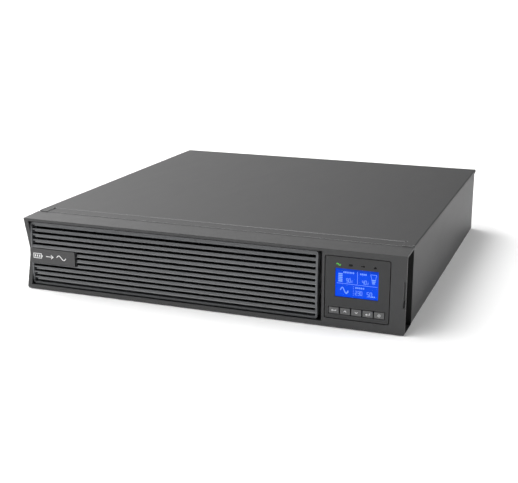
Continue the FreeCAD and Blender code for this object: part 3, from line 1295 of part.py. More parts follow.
def make_screw(x, z, under, shank_radius, length):
    """A pan-head screw along Y whose head bears on the plane y = under."""
    head = rod(x, under, z, SCREW_HEAD_RADIUS, SCREW_HEAD_HEIGHT, Y_AXIS)
    head = head.makeFillet(SCREW_EDGE, [e for e in head.Edges if e.Closed and e.CenterOfMass.y > under + 1])
    shank = rod(x, under - length, z, shank_radius, length + BITE, Y_AXIS)
    top = under + SCREW_HEAD_HEIGHT
    arm = SCREW_HEAD_RADIUS * SCREW_SLOT_REACH
    half = SCREW_SLOT / 2
    cross = [
        box(x - arm, x + arm, top - SCREW_SLOT_DEPTH, top + 1, z - half, z + half),
        box(x - half, x + half, top - SCREW_SLOT_DEPTH, top + 1, z - arm, z + arm),
    ]
    return carve(fuse([head, shank]), cross)


def make_screws():
    plate_screws = [make_screw(x, z, REAR_FACE + SHEET, SCREW_SHANK_RADIUS, SCREW_LENGTH)
                    for x, z in COVER_SCREWS + card_screw_places()]
    save("panel_screws", *plate_screws)
    shank = FAN_HOLE_RADIUS - FAN_SCREW_CLEARANCE
    fan_screws = [make_screw(x, z, REAR_FACE + GUARD_WIRE, shank, FAN_SCREW_LENGTH)
                  for x, z in fan_screw_places()]
    save("fan_screws", *fan_screws)


def make_outlet_board():
    left = INLET_X - SOCKET_BODY_WIDTH / 2
    right = OUTLET_XS[-1] + SOCKET_BODY_WIDTH / 2
    edge = OUTLET_BOARD_MARGIN
    board = box(left, right, OUTLET_BOARD_FRONT, OUTLET_BOARD_FRONT + BOARD_THICKNESS, SHEET + edge,
                INNER_TOP - edge)
    save("outlet_board", board)


def main():
    os.makedirs("parts", exist_ok=True)
    make_chassis_tray()
    make_top_cover()
    make_rear_panel()
    make_front_plate()
    make_divider_wall()
    make_battery_rails()
    make_front_bezel()
    make_side_latches()
    make_louvre_panel()
    make_module_housing()
    make_module_parts()
    make_buttons()
    make_battery_tray()
    make_pack_handle()
    make_batteries()
    make_battery_terminals()
    make_battery_leads()
    make_battery_connectors()
    make_main_board()
    make_heat_sinks()
    make_power_parts()
    for side in FAN_CENTRES:
        make_fan(side)
    make_fan_guards()
    make_mains_sockets()
    make_breaker()
    make_data_ports()
    make_card_slot_cover()
    make_screws()
    make_outlet_board()


main()
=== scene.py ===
import json
import math

import bmesh
import bpy
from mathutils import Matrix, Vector


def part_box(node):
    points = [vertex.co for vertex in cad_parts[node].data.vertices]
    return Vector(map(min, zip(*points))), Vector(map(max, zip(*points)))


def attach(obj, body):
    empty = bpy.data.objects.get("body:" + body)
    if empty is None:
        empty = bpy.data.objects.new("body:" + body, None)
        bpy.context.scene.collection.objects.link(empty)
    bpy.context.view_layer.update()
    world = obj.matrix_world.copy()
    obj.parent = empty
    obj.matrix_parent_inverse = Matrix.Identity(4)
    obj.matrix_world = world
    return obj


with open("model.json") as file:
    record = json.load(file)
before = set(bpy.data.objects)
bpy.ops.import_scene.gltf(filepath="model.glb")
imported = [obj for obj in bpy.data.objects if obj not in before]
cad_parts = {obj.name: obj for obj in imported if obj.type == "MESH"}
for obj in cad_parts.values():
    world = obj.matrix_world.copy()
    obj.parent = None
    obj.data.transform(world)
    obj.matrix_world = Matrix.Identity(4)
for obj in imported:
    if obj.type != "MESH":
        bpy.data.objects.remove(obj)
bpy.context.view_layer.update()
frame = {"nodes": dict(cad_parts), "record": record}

# Looks of a low rack power supply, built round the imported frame. Metres; front is -Y, up is +Z.

MM = 0.001
NODES = frame["nodes"]
BEZEL_LOW, BEZEL_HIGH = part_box("front_bezel")
FRONT = BEZEL_LOW.y

# Main view: a long lens from the right, slightly above.
CAMERA_PLACE = Vector((0.3961, -1.1082, 0.3482))
CAMERA_AZIMUTH = math.radians(20.558)
CAMERA_ELEVATION = math.radians(15.667)
CAMERA_LENS = 66.44
SENSOR_WIDTH = 36.0

# The sky is strong on the left and weak on the right. It fades over the X part of its direction.
SKY_LEFT = 1.95
SKY_RIGHT = 0.13
SKY_FADE = (-0.85, 0.02)
SKY_SEEN = 1.0                 # what the camera itself sees: plain white
# Area lamps: place, target, size and power in watts.
LAMPS = {
    "key": ((-1.2, 0.2, 1.6), (0, 0, 0), (2.2, 2.2), 38),
    "overhead": ((-0.5, -1.2, 1.7), (0, -0.2, 0), (1.2, 0.8), 13),
    "fill": ((1.9, 0.5, 0.7), (0, 0, 0.05), (1.4, 1.0), 21),
}

FLOOR_REACH = 14.0
FLOOR_DROP = 0.05 * MM         # below the case, so the two faces don't flicker
FLOOR_GLOW = (0.06, 0.6)       # glow near the case and far from it
FLOOR_GLOW_SPAN = (0.5, 3.0)   # the distances between which it grows
FLOOR_SHEEN = 0.1

CASE_SHEEN = 0.36
CASE_COLOUR = (0.029, 0.029, 0.0294)
CASE_GRAIN = 1500.0
# Lighter colour blended in where the surface bends: a painted highlight on folds and edges.
FOLD_PAINTED_HIGHLIGHT = (0.26, 0.26, 0.262)
FOLD_RADIUS = 0.5 * MM
FLANGE_PAINTED_SHADE = 0.42            # painted shade on the cover's turned-down sides
STEP_PAINTED_HIGHLIGHT = 3.2               # painted highlight on the cover's forward-facing step

# Painted shade in the bezel's right-hand recess, measured in from the right side, from the front face and
# from the top.
RECESS_PAINTED_SHADE = (0.026, 0.026, 0.026)
RECESS_REACH = 10.3 * MM
RECESS_START = 2.15 * MM
RECESS_ROOF = 2.4 * MM

MOULD_UNEVENNESS = 0.025       # roughness either side of the stated one
MATT_SHEEN = 0.05
LATCH_SHEEN = 0.15
SCREEN_SHEEN = 0.1
SCREEN_FADE = (5.5 * MM, 1.0 * MM)   # the dimmer upper edge: from below the lens's top to above it
PIXEL_GRAIN = 2600.0
BRUSH_GRAIN = (8.0, 260.0, 260.0)

BUTTON_BEVEL = 0.3
BEVEL_SEGMENTS = 2
FLAT_ANGLE = math.radians(0.5)
SHARP_ANGLE = math.radians(35)

INK_THICKNESS = 0.05 * MM
LEGEND_THICKNESS = 0.04 * MM
SCREEN_GAP = 0.01 * MM         # between the display's glass and its picture
MITRE_LIMIT = 0.35
BADGE_MARK_START = 9.5 * MM

DUST_RIM = Vector((2.6, 0, 2.9)) * MM
DUST_BACK = 0.4 * MM           # the dust screen's back, in from the louvre panel's back
DUST_THICKNESS = 1.6 * MM
DUST_BEVEL = 0.2 * MM

# ------------------------------------------------------------------ materials


class Surface:
    """A principled material whose colour, roughness and relief come from procedural nodes."""

    def __init__(self, name, metallic=0.0, ior=1.5, coat=0.0):
        self.material = bpy.data.materials.new(name)
        self.material.use_nodes = True
        self.nodes = self.material.node_tree.nodes
        self.links = self.material.node_tree.links
        self.shader = self.nodes["Principled BSDF"]
        self.shader.inputs["Metallic"].default_value = metallic
        self.shader.inputs["IOR"].default_value = ior
        self.shader.inputs["Coat Weight"].default_value = coat
        self.place = self.nodes.new("ShaderNodeTexCoord").outputs["Object"]
        self.relief = None

    def link(self, source, target):
        self.links.new(source, target)

    def stretched(self, scale):
        node = self.nodes.new("ShaderNodeMapping")
        node.inputs["Scale"].default_value = scale
        self.link(self.place, node.inputs["Vector"])
        return node.outputs["Vector"]

    def noise(self, scale, detail=3.0, rough=0.5, place=None):
        node = self.nodes.new("ShaderNodeTexNoise")
        node.inputs["Scale"].default_value = scale
        node.inputs["Detail"].default_value = detail
        node.inputs["Roughness"].default_value = rough
        self.link(place or self.place, node.inputs["Vector"])
        return node.outputs["Fac"]

    def cells(self, scale, place=None):
        node = self.nodes.new("ShaderNodeTexVoronoi")
        node.inputs["Scale"].default_value = scale
        self.link(place or self.place, node.inputs["Vector"])
        return node.outputs["Distance"]

    def remap(self, value, low, high, source=(0.3, 0.7)):
        node = self.nodes.new("ShaderNodeMapRange")
        node.inputs["From Min"].default_value = source[0]
        node.inputs["From Max"].default_value = source[1]
        node.inputs["To Min"].default_value = low
        node.inputs["To Max"].default_value = high
        self.link(value, node.inputs["Value"])
        return node.outputs["Result"]

    def blend(self, share, first, second):
        """A colour between two: each is a colour or a socket."""
        node = self.nodes.new("ShaderNodeMix")
        node.data_type = "RGBA"
        self.link(share, node.inputs["Factor"])
        for socket, value in ((node.inputs["A"], first), (node.inputs["B"], second)):
            self.put(socket, value)
        return node.outputs["Result"]

    def put(self, socket, value):
        if isinstance(value, bpy.types.NodeSocket):
            self.link(value, socket)
        elif len(value) == 3:
            socket.default_value = (*value, 1.0)
        else:
            socket.default_value = value

    def math(self, operation, first, second=None):
        node = self.nodes.new("ShaderNodeMath")
        node.operation = operation
        for socket, value in zip(node.inputs, (first, second)):
            if isinstance(value, bpy.types.NodeSocket):
                self.link(value, socket)
            elif value is not None:
                socket.default_value = value
        return node.outputs["Value"]

    def edges(self, radius):
        """One where the surface bends within the radius, nought on flat ground."""
        rounded = self.nodes.new("ShaderNodeBevel")
        rounded.samples = 6
        rounded.inputs["Radius"].default_value = radius
        flat = self.nodes.new("ShaderNodeNewGeometry").outputs["Normal"]
        node = self.nodes.new("ShaderNodeVectorMath")
        node.operation = "DOT_PRODUCT"
        self.link(rounded.outputs["Normal"], node.inputs[0])
        self.link(flat, node.inputs[1])
        return self.remap(node.outputs["Value"], 1.0, 0.0, (0.8, 0.99))

    def stripes(self, scale, distortion=0.0):
        node = self.nodes.new("ShaderNodeTexWave")
        node.inputs["Scale"].default_value = scale
        node.inputs["Distortion"].default_value = distortion
        self.link(self.place, node.inputs["Vector"])
        return node.outputs["Fac"]

    def scaled(self, colour, factor):
        """A colour socket times a value socket."""
        node = self.nodes.new("ShaderNodeVectorMath")
        node.operation = "SCALE"
        self.link(colour, node.inputs[0])
        self.link(factor, node.inputs["Scale"])
        return node.outputs["Vector"]

    def axis(self, letter):
        node = self.nodes.new("ShaderNodeSeparateXYZ")
        self.link(self.place, node.inputs["Vector"])
        return node.outputs[letter]

    def colour(self, value):
        self.put(self.shader.inputs["Base Color"], value)
        return self

    def base(self):
        """The socket that feeds the base colour so far."""
        return self.shader.inputs["Base Color"].links[0].from_socket

    def sheen(self, value):
        self.shader.inputs["Specular IOR Level"].default_value = value
        return self

    def roughness(self, value):
        self.link(value, self.shader.inputs["Roughness"])
        return self

    def bump(self, height, distance, strength=1.0):
        """Adds relief; several calls stack."""
        node = self.nodes.new("ShaderNodeBump")
        node.inputs["Distance"].default_value = distance
        node.inputs["Strength"].default_value = strength
        self.link(height, node.inputs["Height"])
        if self.relief:
            self.link(self.relief, node.inputs["Normal"])
        self.relief = node.outputs["Normal"]
        self.link(self.relief, self.shader.inputs["Normal"])
        return self

    def glow(self, colour):
        self.put(self.shader.inputs["Emission Color"], colour)
        self.shader.inputs["Emission Strength"].default_value = 1.0
        return self


def shade(colour, factor):
    return tuple(c * factor for c in colour)


def moulded(name, colour, roughness, grain=1600.0, depth=0.00002, coat=0.0):
    """Moulded plastic: cloudy colour, uneven sheen and a fine spark-eroded texture."""
    s = Surface(name, coat=coat)
    cloud = s.remap(s.noise(14.0, 4.0), 0.0, 1.0)
    s.colour(s.blend(cloud, shade(colour, 1 - 0.035), shade(colour, 1 + 0.035)))
    s.roughness(s.remap(s.noise(90.0, 5.0), roughness - MOULD_UNEVENNESS, roughness + MOULD_UNEVENNESS))
    s.bump(s.noise(grain, 2.0), depth)
    return s


def painted_light_cover():
    """The case paint on the cover, with painted shade on its turned-down sides and a painted highlight where
    it steps down.
    """
    s = powder_coat("cover_paint_painted_light", CASE_COLOUR)
    normal = s.nodes.new("ShaderNodeNewGeometry").outputs["Normal"]
    split = s.nodes.new("ShaderNodeSeparateXYZ")
    s.link(normal, split.inputs["Vector"])
    sideways = s.math("ABSOLUTE", split.outputs["X"])
    forward = s.math("MULTIPLY", split.outputs["Y"], -1.0)
    # Painted shade on sideways faces and a painted highlight on forward faces, chosen by the face's
    # direction.
    shaded = s.scaled(s.base(), s.remap(sideways, 1.0, FLANGE_PAINTED_SHADE, (0.5, 0.9)))
    s.colour(s.scaled(shaded, s.remap(forward, 1.0, STEP_PAINTED_HIGHLIGHT, (0.2, 0.5))))
    return s


def powder_coat(name, colour):
    """Textured powder coat on sheet steel: orange peel, fine grain, and a painted highlight on the folds."""
    s = Surface(name)
    cloud = s.remap(s.noise(7.0, 5.0), 0.0, 1.0)
    fleck = s.remap(s.cells(CASE_GRAIN), 0.94, 1.08, (0.1, 0.7))
    tone = s.blend(cloud, shade(colour, 0.985), shade(colour, 1.015))
    # painted highlight: the lighter fold colour where the surface bends within FOLD_RADIUS
    fold_highlight = s.blend(s.edges(FOLD_RADIUS), tone, FOLD_PAINTED_HIGHLIGHT)
    s.colour(s.scaled(fold_highlight, fleck))
    marks = s.noise(60.0, 6.0, 0.6, s.stretched((1.0, 0.25, 1.0)))
    s.roughness(s.remap(marks, 0.485, 0.5))
    s.sheen(CASE_SHEEN)
    s.bump(s.noise(420.0, 2.0), 0.00003, 0.6)
    s.bump(s.cells(CASE_GRAIN), 0.00002, 0.5)
    return s


def brushed(name, colour, roughness=0.38):
    """Bare or plated metal with drawn scratches and a little stain."""
    s = Surface(name, metallic=1.0)
    lines = s.noise(12.0, 6.0, 0.6, s.stretched(BRUSH_GRAIN))
    stain = s.remap(s.noise(11.0, 5.0), 0.0, 1.0)
    s.colour(s.blend(stain, shade(colour, 0.86), shade(colour, 1.04)))
    s.roughness(s.remap(lines, roughness - 0.08, roughness + 0.1))
    s.bump(lines, 0.00001, 0.5)
    return s


def plated(name, colour, roughness=0.22):
    """Smooth plated parts: screws, wire and tabs."""
    s = Surface(name, metallic=1.0)
    s.colour(s.blend(s.remap(s.noise(160.0, 4.0), 0.0, 1.0), shade(colour, 0.85), colour))
    s.roughness(s.remap(s.noise(400.0, 4.0), roughness - 0.06, roughness + 0.1))
    s.bump(s.noise(700.0, 3.0), 0.000006)
    return s


def circuit_board(name):
    """Solder mask over copper: pads and tracks show as lighter, raised lines."""
    s = Surface(name, coat=0.4)
    tracks = s.cells(130.0, s.stretched((1.0, 2.5, 2.5)))
    lines = s.remap(tracks, 1.0, 0.0, (0.05, 0.12))
    s.colour(s.blend(lines, (0.008, 0.07, 0.03), (0.03, 0.16, 0.07)))
    s.roughness(s.remap(s.noise(120.0), 0.28, 0.4))
    s.bump(lines, 0.00003)
    return s


def wound(name, colour, pitch):
    """Enamelled or taped windings: fine parallel turns."""
    s = Surface(name, coat=0.3)
    turns = s.stripes(pitch, 0.4)
    s.colour(s.blend(turns, shade(colour, 0.55), colour))
    s.roughness(s.remap(s.noise(200.0), 0.3, 0.45))
    s.bump(turns, 0.0002)
    return s


def bezel_with_painted_recess_shade():
    """Bezel plastic, with painted shade inside the right-hand recess: darker and duller there."""
    s = moulded("bezel_plastic", (0.031, 0.031, 0.0315), 0.5)
    beside = s.math("GREATER_THAN", s.axis("X"), BEZEL_HIGH.x - RECESS_REACH)
    behind = s.math("GREATER_THAN", s.axis("Y"), FRONT + RECESS_START)
    below = s.math("LESS_THAN", s.axis("Z"), BEZEL_HIGH.z - RECESS_ROOF)
    # painted shade: this mask is one inside the recess, where the colour darkens and the sheen drops
    inside = s.math("MULTIPLY", s.math("MULTIPLY", beside, behind), below)
    s.colour(s.blend(inside, s.base(), RECESS_PAINTED_SHADE))
    s.link(s.remap(inside, 0.5, 0.12, (0.0, 1.0)), s.shader.inputs["Specular IOR Level"])
    return s


def screen_finish():
    """The backlit display: even saturated blue, dimmer along its upper edge."""
    s = Surface("screen_blue")
    low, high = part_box("display_lens")
    fade = s.remap(s.axis("Z"), 0.0, 1.0, (high.z - SCREEN_FADE[0], high.z + SCREEN_FADE[1]))
    dots = s.remap(s.noise(PIXEL_GRAIN, 1.0), 0.94, 1.03)
    glow = s.blend(fade, (0.0, 0.062, 0.83), (0.0, 0.026, 0.4))
    s.sheen(SCREEN_SHEEN)
    s.colour((0.0, 0.01, 0.05))
    s.roughness(s.remap(s.noise(300.0), 0.3, 0.4))
    s.glow(s.scaled(glow, dots))
    s.bump(s.noise(PIXEL_GRAIN), 0.000004)
    return s


def lens_finish():
    """Clear window over the display, with almost no reflection of its own."""
    s = Surface("screen_lens", ior=1.03)
    s.colour(s.blend(s.remap(s.noise(30.0), 0.0, 1.0), (0.97, 0.98, 1.0), (1.0, 1.0, 1.0)))
    s.shader.inputs["Transmission Weight"].default_value = 1.0
    s.roughness(s.remap(s.noise(80.0, 5.0), 0.0, 0.02))
    s.bump(s.noise(900.0), 0.000001)
    return s


def badge_finish():
    """Badge plastic with small light specks."""
    s = moulded("badge_plastic", (0.046, 0.046, 0.047), 0.5, depth=0.00004)
    speck = s.remap(s.cells(1900.0), 1.9, 0.9, (0.05, 0.3))
    s.colour(s.scaled(s.base(), speck))
    return s


def dust_screen_with_painted_shade():
    # Near black: painted shade behind the louvre slats, on top of the dust screen's own dark colour.
    s = moulded("dust_screen_painted_shade", (0.002, 0.002, 0.002), 0.85).sheen(MATT_SHEEN)
    s.bump(s.cells(900.0), 0.0004)
    return s


def lit(name, colour):
    """A printed mark that lights up."""
    s = Surface(name)
    s.colour(shade(colour, 0.3))
    s.roughness(s.remap(s.noise(500.0), 0.35, 0.5))
    s.glow(s.blend(s.remap(s.noise(1200.0), 0.0, 1.0), shade(colour, 0.9), colour))
    return s


def cell_finish():
    """Lead plates seen end on."""
    s = Surface("lead_cells", metallic=0.6)
    plates = s.stripes(120.0)
    s.colour(s.blend(plates, (0.08, 0.08, 0.085), (0.3, 0.3, 0.31)))
    s.roughness(s.remap(s.noise(120.0), 0.5, 0.7))
    s.bump(plates, 0.0003)
    return s


def make_materials():
    """One finish for each material slot of the record."""
    finishes = {
        "case_paint": powder_coat("case_paint", CASE_COLOUR),
        "zinc_steel": brushed("zinc_steel", (0.52, 0.53, 0.54)),
        "bezel_plastic": bezel_with_painted_recess_shade(),
        "louvre_plastic": moulded("louvre_plastic", (0.098, 0.101, 0.106), 0.42),
        "badge_plastic": badge_finish(),
        "module_plastic": moulded("module_plastic", (0.016, 0.016, 0.0165), 0.45, 2400.0, 0.00001),
        "screen_lens": lens_finish(),
        "screen_panel": screen_finish(),
        "board_green": circuit_board("board_green"),
        "indicator_green": moulded("indicator_green", (0.03, 0.034, 0.03), 0.3),
        "indicator_dark": moulded("indicator_dark", (0.014, 0.014, 0.0145), 0.4),
        "button_plastic": moulded("button_plastic", (0.085, 0.085, 0.086), 0.4),
        # Latch: its own black plastic, darkened further with low sheen as painted shade of the recess it
        # sits in.
        "latch_plastic": moulded("latch_plastic", (0.006, 0.006, 0.0062), 0.5).sheen(LATCH_SHEEN),
        "handle_plastic": moulded("handle_plastic", (0.02, 0.02, 0.02), 0.5),
        "battery_plastic": moulded("battery_plastic", (0.035, 0.036, 0.04), 0.5, 700.0, 0.00005),
        "lead_cells": cell_finish(),
        "terminal_metal": plated("terminal_metal", (0.75, 0.72, 0.62)),
        "lead_jacket": moulded("lead_jacket", (0.42, 0.02, 0.02), 0.4),
        "plug_plastic": moulded("plug_plastic", (0.16, 0.165, 0.18), 0.5),
        "sink_aluminium": brushed("sink_aluminium", (0.7, 0.71, 0.73), 0.35),
        "transistor_black": moulded("transistor_black", (0.012, 0.012, 0.012), 0.55),
        "capacitor_sleeve": moulded("capacitor_sleeve", (0.012, 0.014, 0.03), 0.25, coat=0.5),
        "ferrite": moulded("ferrite", (0.035, 0.035, 0.037), 0.6, 900.0, 0.00005),
        "winding_tape": wound("winding_tape", (0.62, 0.42, 0.05), 60.0),
        "choke_winding": wound("choke_winding", (0.42, 0.14, 0.04), 110.0),
        "relay_plastic": moulded("relay_plastic", (0.02, 0.06, 0.25), 0.35),
        "fan_plastic": moulded("fan_plastic", (0.012, 0.012, 0.012), 0.48),
        "guard_wire": plated("guard_wire", (0.68, 0.68, 0.69), 0.2),
        "screw_steel": plated("screw_steel", (0.5, 0.5, 0.51), 0.3),
        "socket_plastic": moulded("socket_plastic", (0.016, 0.016, 0.016), 0.45),
        "breaker_plastic": moulded("breaker_plastic", (0.018, 0.018, 0.018), 0.45),
        "breaker_button": moulded("breaker_button", (0.5, 0.5, 0.48), 0.35),
        "port_metal": brushed("port_metal", (0.6, 0.6, 0.6), 0.3),
        "jack_plastic": moulded("jack_plastic", (0.02, 0.02, 0.02), 0.4),
    }
    return {slot: surface.material for slot, surface in finishes.items()}


MATERIALS = make_materials()
COVER_PAINT_AND_PAINTED_LIGHT = painted_light_cover().material
PRINT_WHITE = moulded("print_white", (0.72, 0.72, 0.72), 0.5).material
PRINT_DARK = moulded("print_dark", (0.003, 0.003, 0.003), 0.6).sheen(MATT_SHEEN).material
SCREEN_INK = lit("screen_ink", (0.15, 0.32, 1.0)).material
GREEN_LIGHT = lit("green_light", (0.07, 0.5, 0.03)).material
DUST_SCREEN_AND_PAINTED_SHADE = dust_screen_with_painted_shade().material

# ------------------------------------------------------------------ CAD nodes

# Edge roundings in millimetres.
BEVELS = {
    "top_cover": 0.25, "chassis_tray": 0.25, "front_bezel": 0.35, "louvre_panel": 0.3,
    "module_housing": 0.25, "badge_plate": 0.15, "side_latch_right": 0.3, "battery_tray": 0.2,
    "pack_handle": 0.3, "battery_plug": 0.3, "card_slot_cover": 0.15, "rear_panel": 0.12,
}


def dress_nodes():
    """Give each CAD node its slot's finish, and soften the edges that a hand would feel."""
    slots = {part["node"]: part["material_slot"] for part in frame["record"]["subparts"]}
    for name, node in NODES.items():
        node.data.materials.clear()
        node.data.materials.append(COVER_PAINT_AND_PAINTED_LIGHT if name == "top_cover" else MATERIALS[slots[name]])
        width = BUTTON_BEVEL if name.startswith("button_") else BEVELS.get(name)
        if width:
            soften(node, width * MM)


def soften(obj, width):
    """Round the sharp edges, after merging the flat triangles between them."""
    clean = obj.modifiers.new("clean", "DECIMATE")
    clean.decimate_type = "DISSOLVE"
    clean.angle_limit = FLAT_ANGLE
    bevel = obj.modifiers.new("soften", "BEVEL")
    bevel.width = width
    bevel.segments = BEVEL_SEGMENTS
    bevel.limit_method = "ANGLE"
    bevel.angle_limit = SHARP_ANGLE
    bevel.use_clamp_overlap = True
    bevel.harden_normals = True


# ------------------------------------------------------------------ flat printed shapes


def outline_strip(points, width, closed):
    """Two sides of a line of the given width, mitred at its corners."""
    count = len(points)
    left, right = [], []
    for i, point in enumerate(points):
        before = points[i - 1] if i or closed else None
        after = points[(i + 1) % count] if i < count - 1 or closed else None
        into = (point - before).normalized() if before is not None else None
        out = (after - point).normalized() if after is not None else None
        along = ((into or out) + (out or into)).normalized()
        side = Vector((-along.y, along.x))
        lean = max(MITRE_LIMIT, along.dot(into or out))
        left.append(point + side * width / 2 / lean)
        right.append(point - side * width / 2 / lean)
    return left, right


def add_strip(mesh, points, width, place, thickness, closed):
    """A printed line as a thin closed strip. place turns a flat point and a height into a place in space."""
    left, right = outline_strip([Vector(p) for p in points], width, closed)
    layers = [[mesh.verts.new(place(p, height)) for p in side]
              for height in (0.0, thickness) for side in (left, right)]
    low_left, low_right, high_left, high_right = layers
    count = len(points)
    spans = range(count) if closed else range(count - 1)
    for i in spans:
        j = (i + 1) % count
        mesh.faces.new((high_left[i], high_left[j], high_right[j], high_right[i]))
        mesh.faces.new((low_left[i], low_right[i], low_right[j], low_left[j]))
        mesh.faces.new((low_left[i], low_left[j], high_left[j], high_left[i]))
        mesh.faces.new((low_right[i], high_right[i], high_right[j], low_right[j]))
    if not closed:
        for i in (0, count - 1):
            mesh.faces.new((low_left[i], high_left[i], high_right[i], low_right[i]))


def piece_from(name, mesh, material):
    data = bpy.data.meshes.new(name)
    mesh.to_mesh(data)
    mesh.free()
    data.materials.append(material)
    obj = bpy.data.objects.new(name, data)
    bpy.context.scene.collection.objects.link(obj)
    return obj


def printed(name, strokes, origin, thickness, material, body):
    """Lines printed on a front face. Flat points are in millimetres from origin, seen from the front."""

    def place(point, height):
        return origin + Vector((point.x * MM, -height, point.y * MM))

    mesh = bmesh.new()
    for points, width, closed in strokes:
        add_strip(mesh, points, width, place, thickness, closed)
    bmesh.ops.recalc_face_normals(mesh, faces=mesh.faces)
    obj = piece_from(name, mesh, material)
    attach(obj, body)


def shifted(strokes, x, y):
    return [([(px + x, py + y) for px, py in points], width, closed) for points, width, closed in strokes]


def arc(x, y, radius, start, end, count=14):
    step = (end - start) / (count - 1)
    angles = [math.radians(start + step * i) for i in range(count)]
    return [(x + radius * math.cos(a), y + radius * math.sin(a)) for a in angles]


def wave(width, height, count=22):
    """One sine wave from left to right, centred on the origin."""
    points = []
    for i in range(count):
        share = i / (count - 1)
        points.append(((share - 0.5) * width, math.sin(share * 2 * math.pi) * height / 2))
    return points


SEGMENTS = {
    "a": ((0, 2), (1, 2)), "b": ((1, 2), (1, 1)), "c": ((1, 1), (1, 0)), "d": ((0, 0), (1, 0)),
    "e": ((0, 0), (0, 1)), "f": ((0, 1), (0, 2)), "g": ((0, 1), (1, 1)),
}
DIGITS = {"0": "abcdef", "2": "abged", "3": "abgcd", "4": "fgbc", "5": "afgcd", "9": "abcdfg"}


def numeral(text, x, y, height, width):
    """Seven-segment figures, with a per cent sign drawn as two dots and a slash."""
    strokes = []
    step = height / 2
    for figure in text:
        if figure == "%":
            small = height * 0.3
            strokes.append(([(x, y), (x + small * 1.4, y + small * 2)], width * 0.8, False))
            strokes.append(([(x - 0.1, y + small * 1.6), (x + 0.5, y + small * 1.6)], width * 0.9, False))
            strokes.append(([(x + 1.0, y + 0.3), (x + 1.6, y + 0.3)], width * 0.9, False))
            x += small * 2
            continue
        for key in DIGITS[figure]:
            (x0, y0), (x1, y1) = SEGMENTS[key]
            ends = [(x + x0 * step * 0.85, y + y0 * step), (x + x1 * step * 0.85, y + y1 * step)]
            strokes.append((ends, width, False))
        x += step * 0.85 + width * 2.0
    return strokes


def dashes(x, y, lengths, width, gap):
    """A row of plain marks where a label would stand."""
    strokes = []
    for length in lengths:
        strokes.append(([(x, y), (x + length, y)], width, False))
        x += length + gap
    return strokes


# ------------------------------------------------------------------ control module


def screen_strokes():
    """The screen's plain pictures. Origin is the screen's lower left corner; it is 44.3 by 30.1 mm."""
    strokes = []
    for i in range(5):
        strokes.append(([(2.6, 16.2 + i * 1.9), (6.9, 16.2 + i * 1.9)], 1.3, False))
    strokes += dashes(7.8, 25.8, (1.1, 1.3, 0.9, 0.9, 1.2, 1.0, 1.3), 1.7, 0.55)
    strokes += dashes(25.0, 25.4, (0.9, 1.4, 1.3, 1.4), 1.7, 0.55)
    strokes += numeral("90%", 11.0, 15.6, 3.9, 0.42)
    strokes += numeral("40%", 27.4, 15.2, 3.9, 0.42)
    strokes.append(([(22.4, 14.6), (22.4, 27.6)], 0.4, False))
    strokes.append(([(1.2, 13.9), (42.8, 13.6)], 0.4, False))
    strokes.append(([(37.0, 21.2), (35.8, 26.0), (41.8, 26.0), (41.0, 21.2)], 0.4, False))
    for i in range(3):
        half = 2.1 - i * 0.35
        strokes.append(([(39.0 - half, 20.4 - i * 1.7), (39.0 + half, 20.4 - i * 1.7)], 1.15, False))
    strokes += shifted([(wave(8.0, 5.8), 0.9, False)], 9.0, 6.8)
    strokes += shifted([([(-1.3, -1.3), (1.3, 1.3)], 0.5, False)], 12.4, 4.4)
    for i in range(6):
        strokes.append(([(18.5, 2.2 + i * 1.8), (18.5, 3.1 + i * 1.8)], 0.35, False))
    strokes += dashes(20.4, 10.6, (1.4, 1.2, 1.0, 1.8, 1.3), 1.6, 0.6)
    strokes += numeral("230", 20.5, 3.2, 4.0, 0.45)
    strokes += numeral("50", 32.6, 2.6, 4.6, 0.5)
    strokes += dashes(37.8, 2.9, (1.3, 1.3), 1.2, 0.5)
    return strokes


def make_screen_picture():
    low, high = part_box("display_panel")
    lens_low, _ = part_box("display_lens")
    origin = Vector((lens_low.x, low.y - SCREEN_GAP, lens_low.z))
    printed("screen_picture", screen_strokes(), origin, INK_THICKNESS, SCREEN_INK, "control_module")


def front_middle(low, high):
    return Vector(((low.x + high.x) / 2, low.y, (low.z + high.z) / 2))


def light_pictures():
    """One plain sign for each indicator: mains wave, battery, bypass arrow, warning triangle."""
    battery = [([(-1.7, -0.8), (1.5, -0.8), (1.5, 0.8), (-1.7, 0.8)], 0.5, True),
               ([(1.7, 0.0), (2.15, 0.0)], 0.9, False),
               ([(-1.0, 0.0), (-0.2, 0.0)], 1.2, False), ([(0.3, 0.0), (1.0, 0.0)], 1.2, False)]
    bypass = [([(-2.0, 0.0), (1.0, 0.0)], 0.8, False), ([(0.6, -0.8), (1.7, 0.0), (0.6, 0.8)], 0.7, False)]
    fault = [([(-1.2, -0.8), (1.2, -0.8), (0.0, 0.9)], 0.6, True), ([(0.0, -0.5), (0.0, 0.3)], 0.6, False)]
    return {"mains": [(wave(4.6, 1.9), 0.75, False)], "battery": battery, "bypass": bypass, "fault": fault}


def make_indicator_pictures():
    for name, strokes in light_pictures().items():
        low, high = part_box("indicator_" + name)
        material, slot = PRINT_DARK, "indicator_dark"
        if name == "mains":
            material, slot = GREEN_LIGHT, "indicator_green"
        printed("sign_" + name, strokes, front_middle(low, high), INK_THICKNESS, material,
                "control_module")


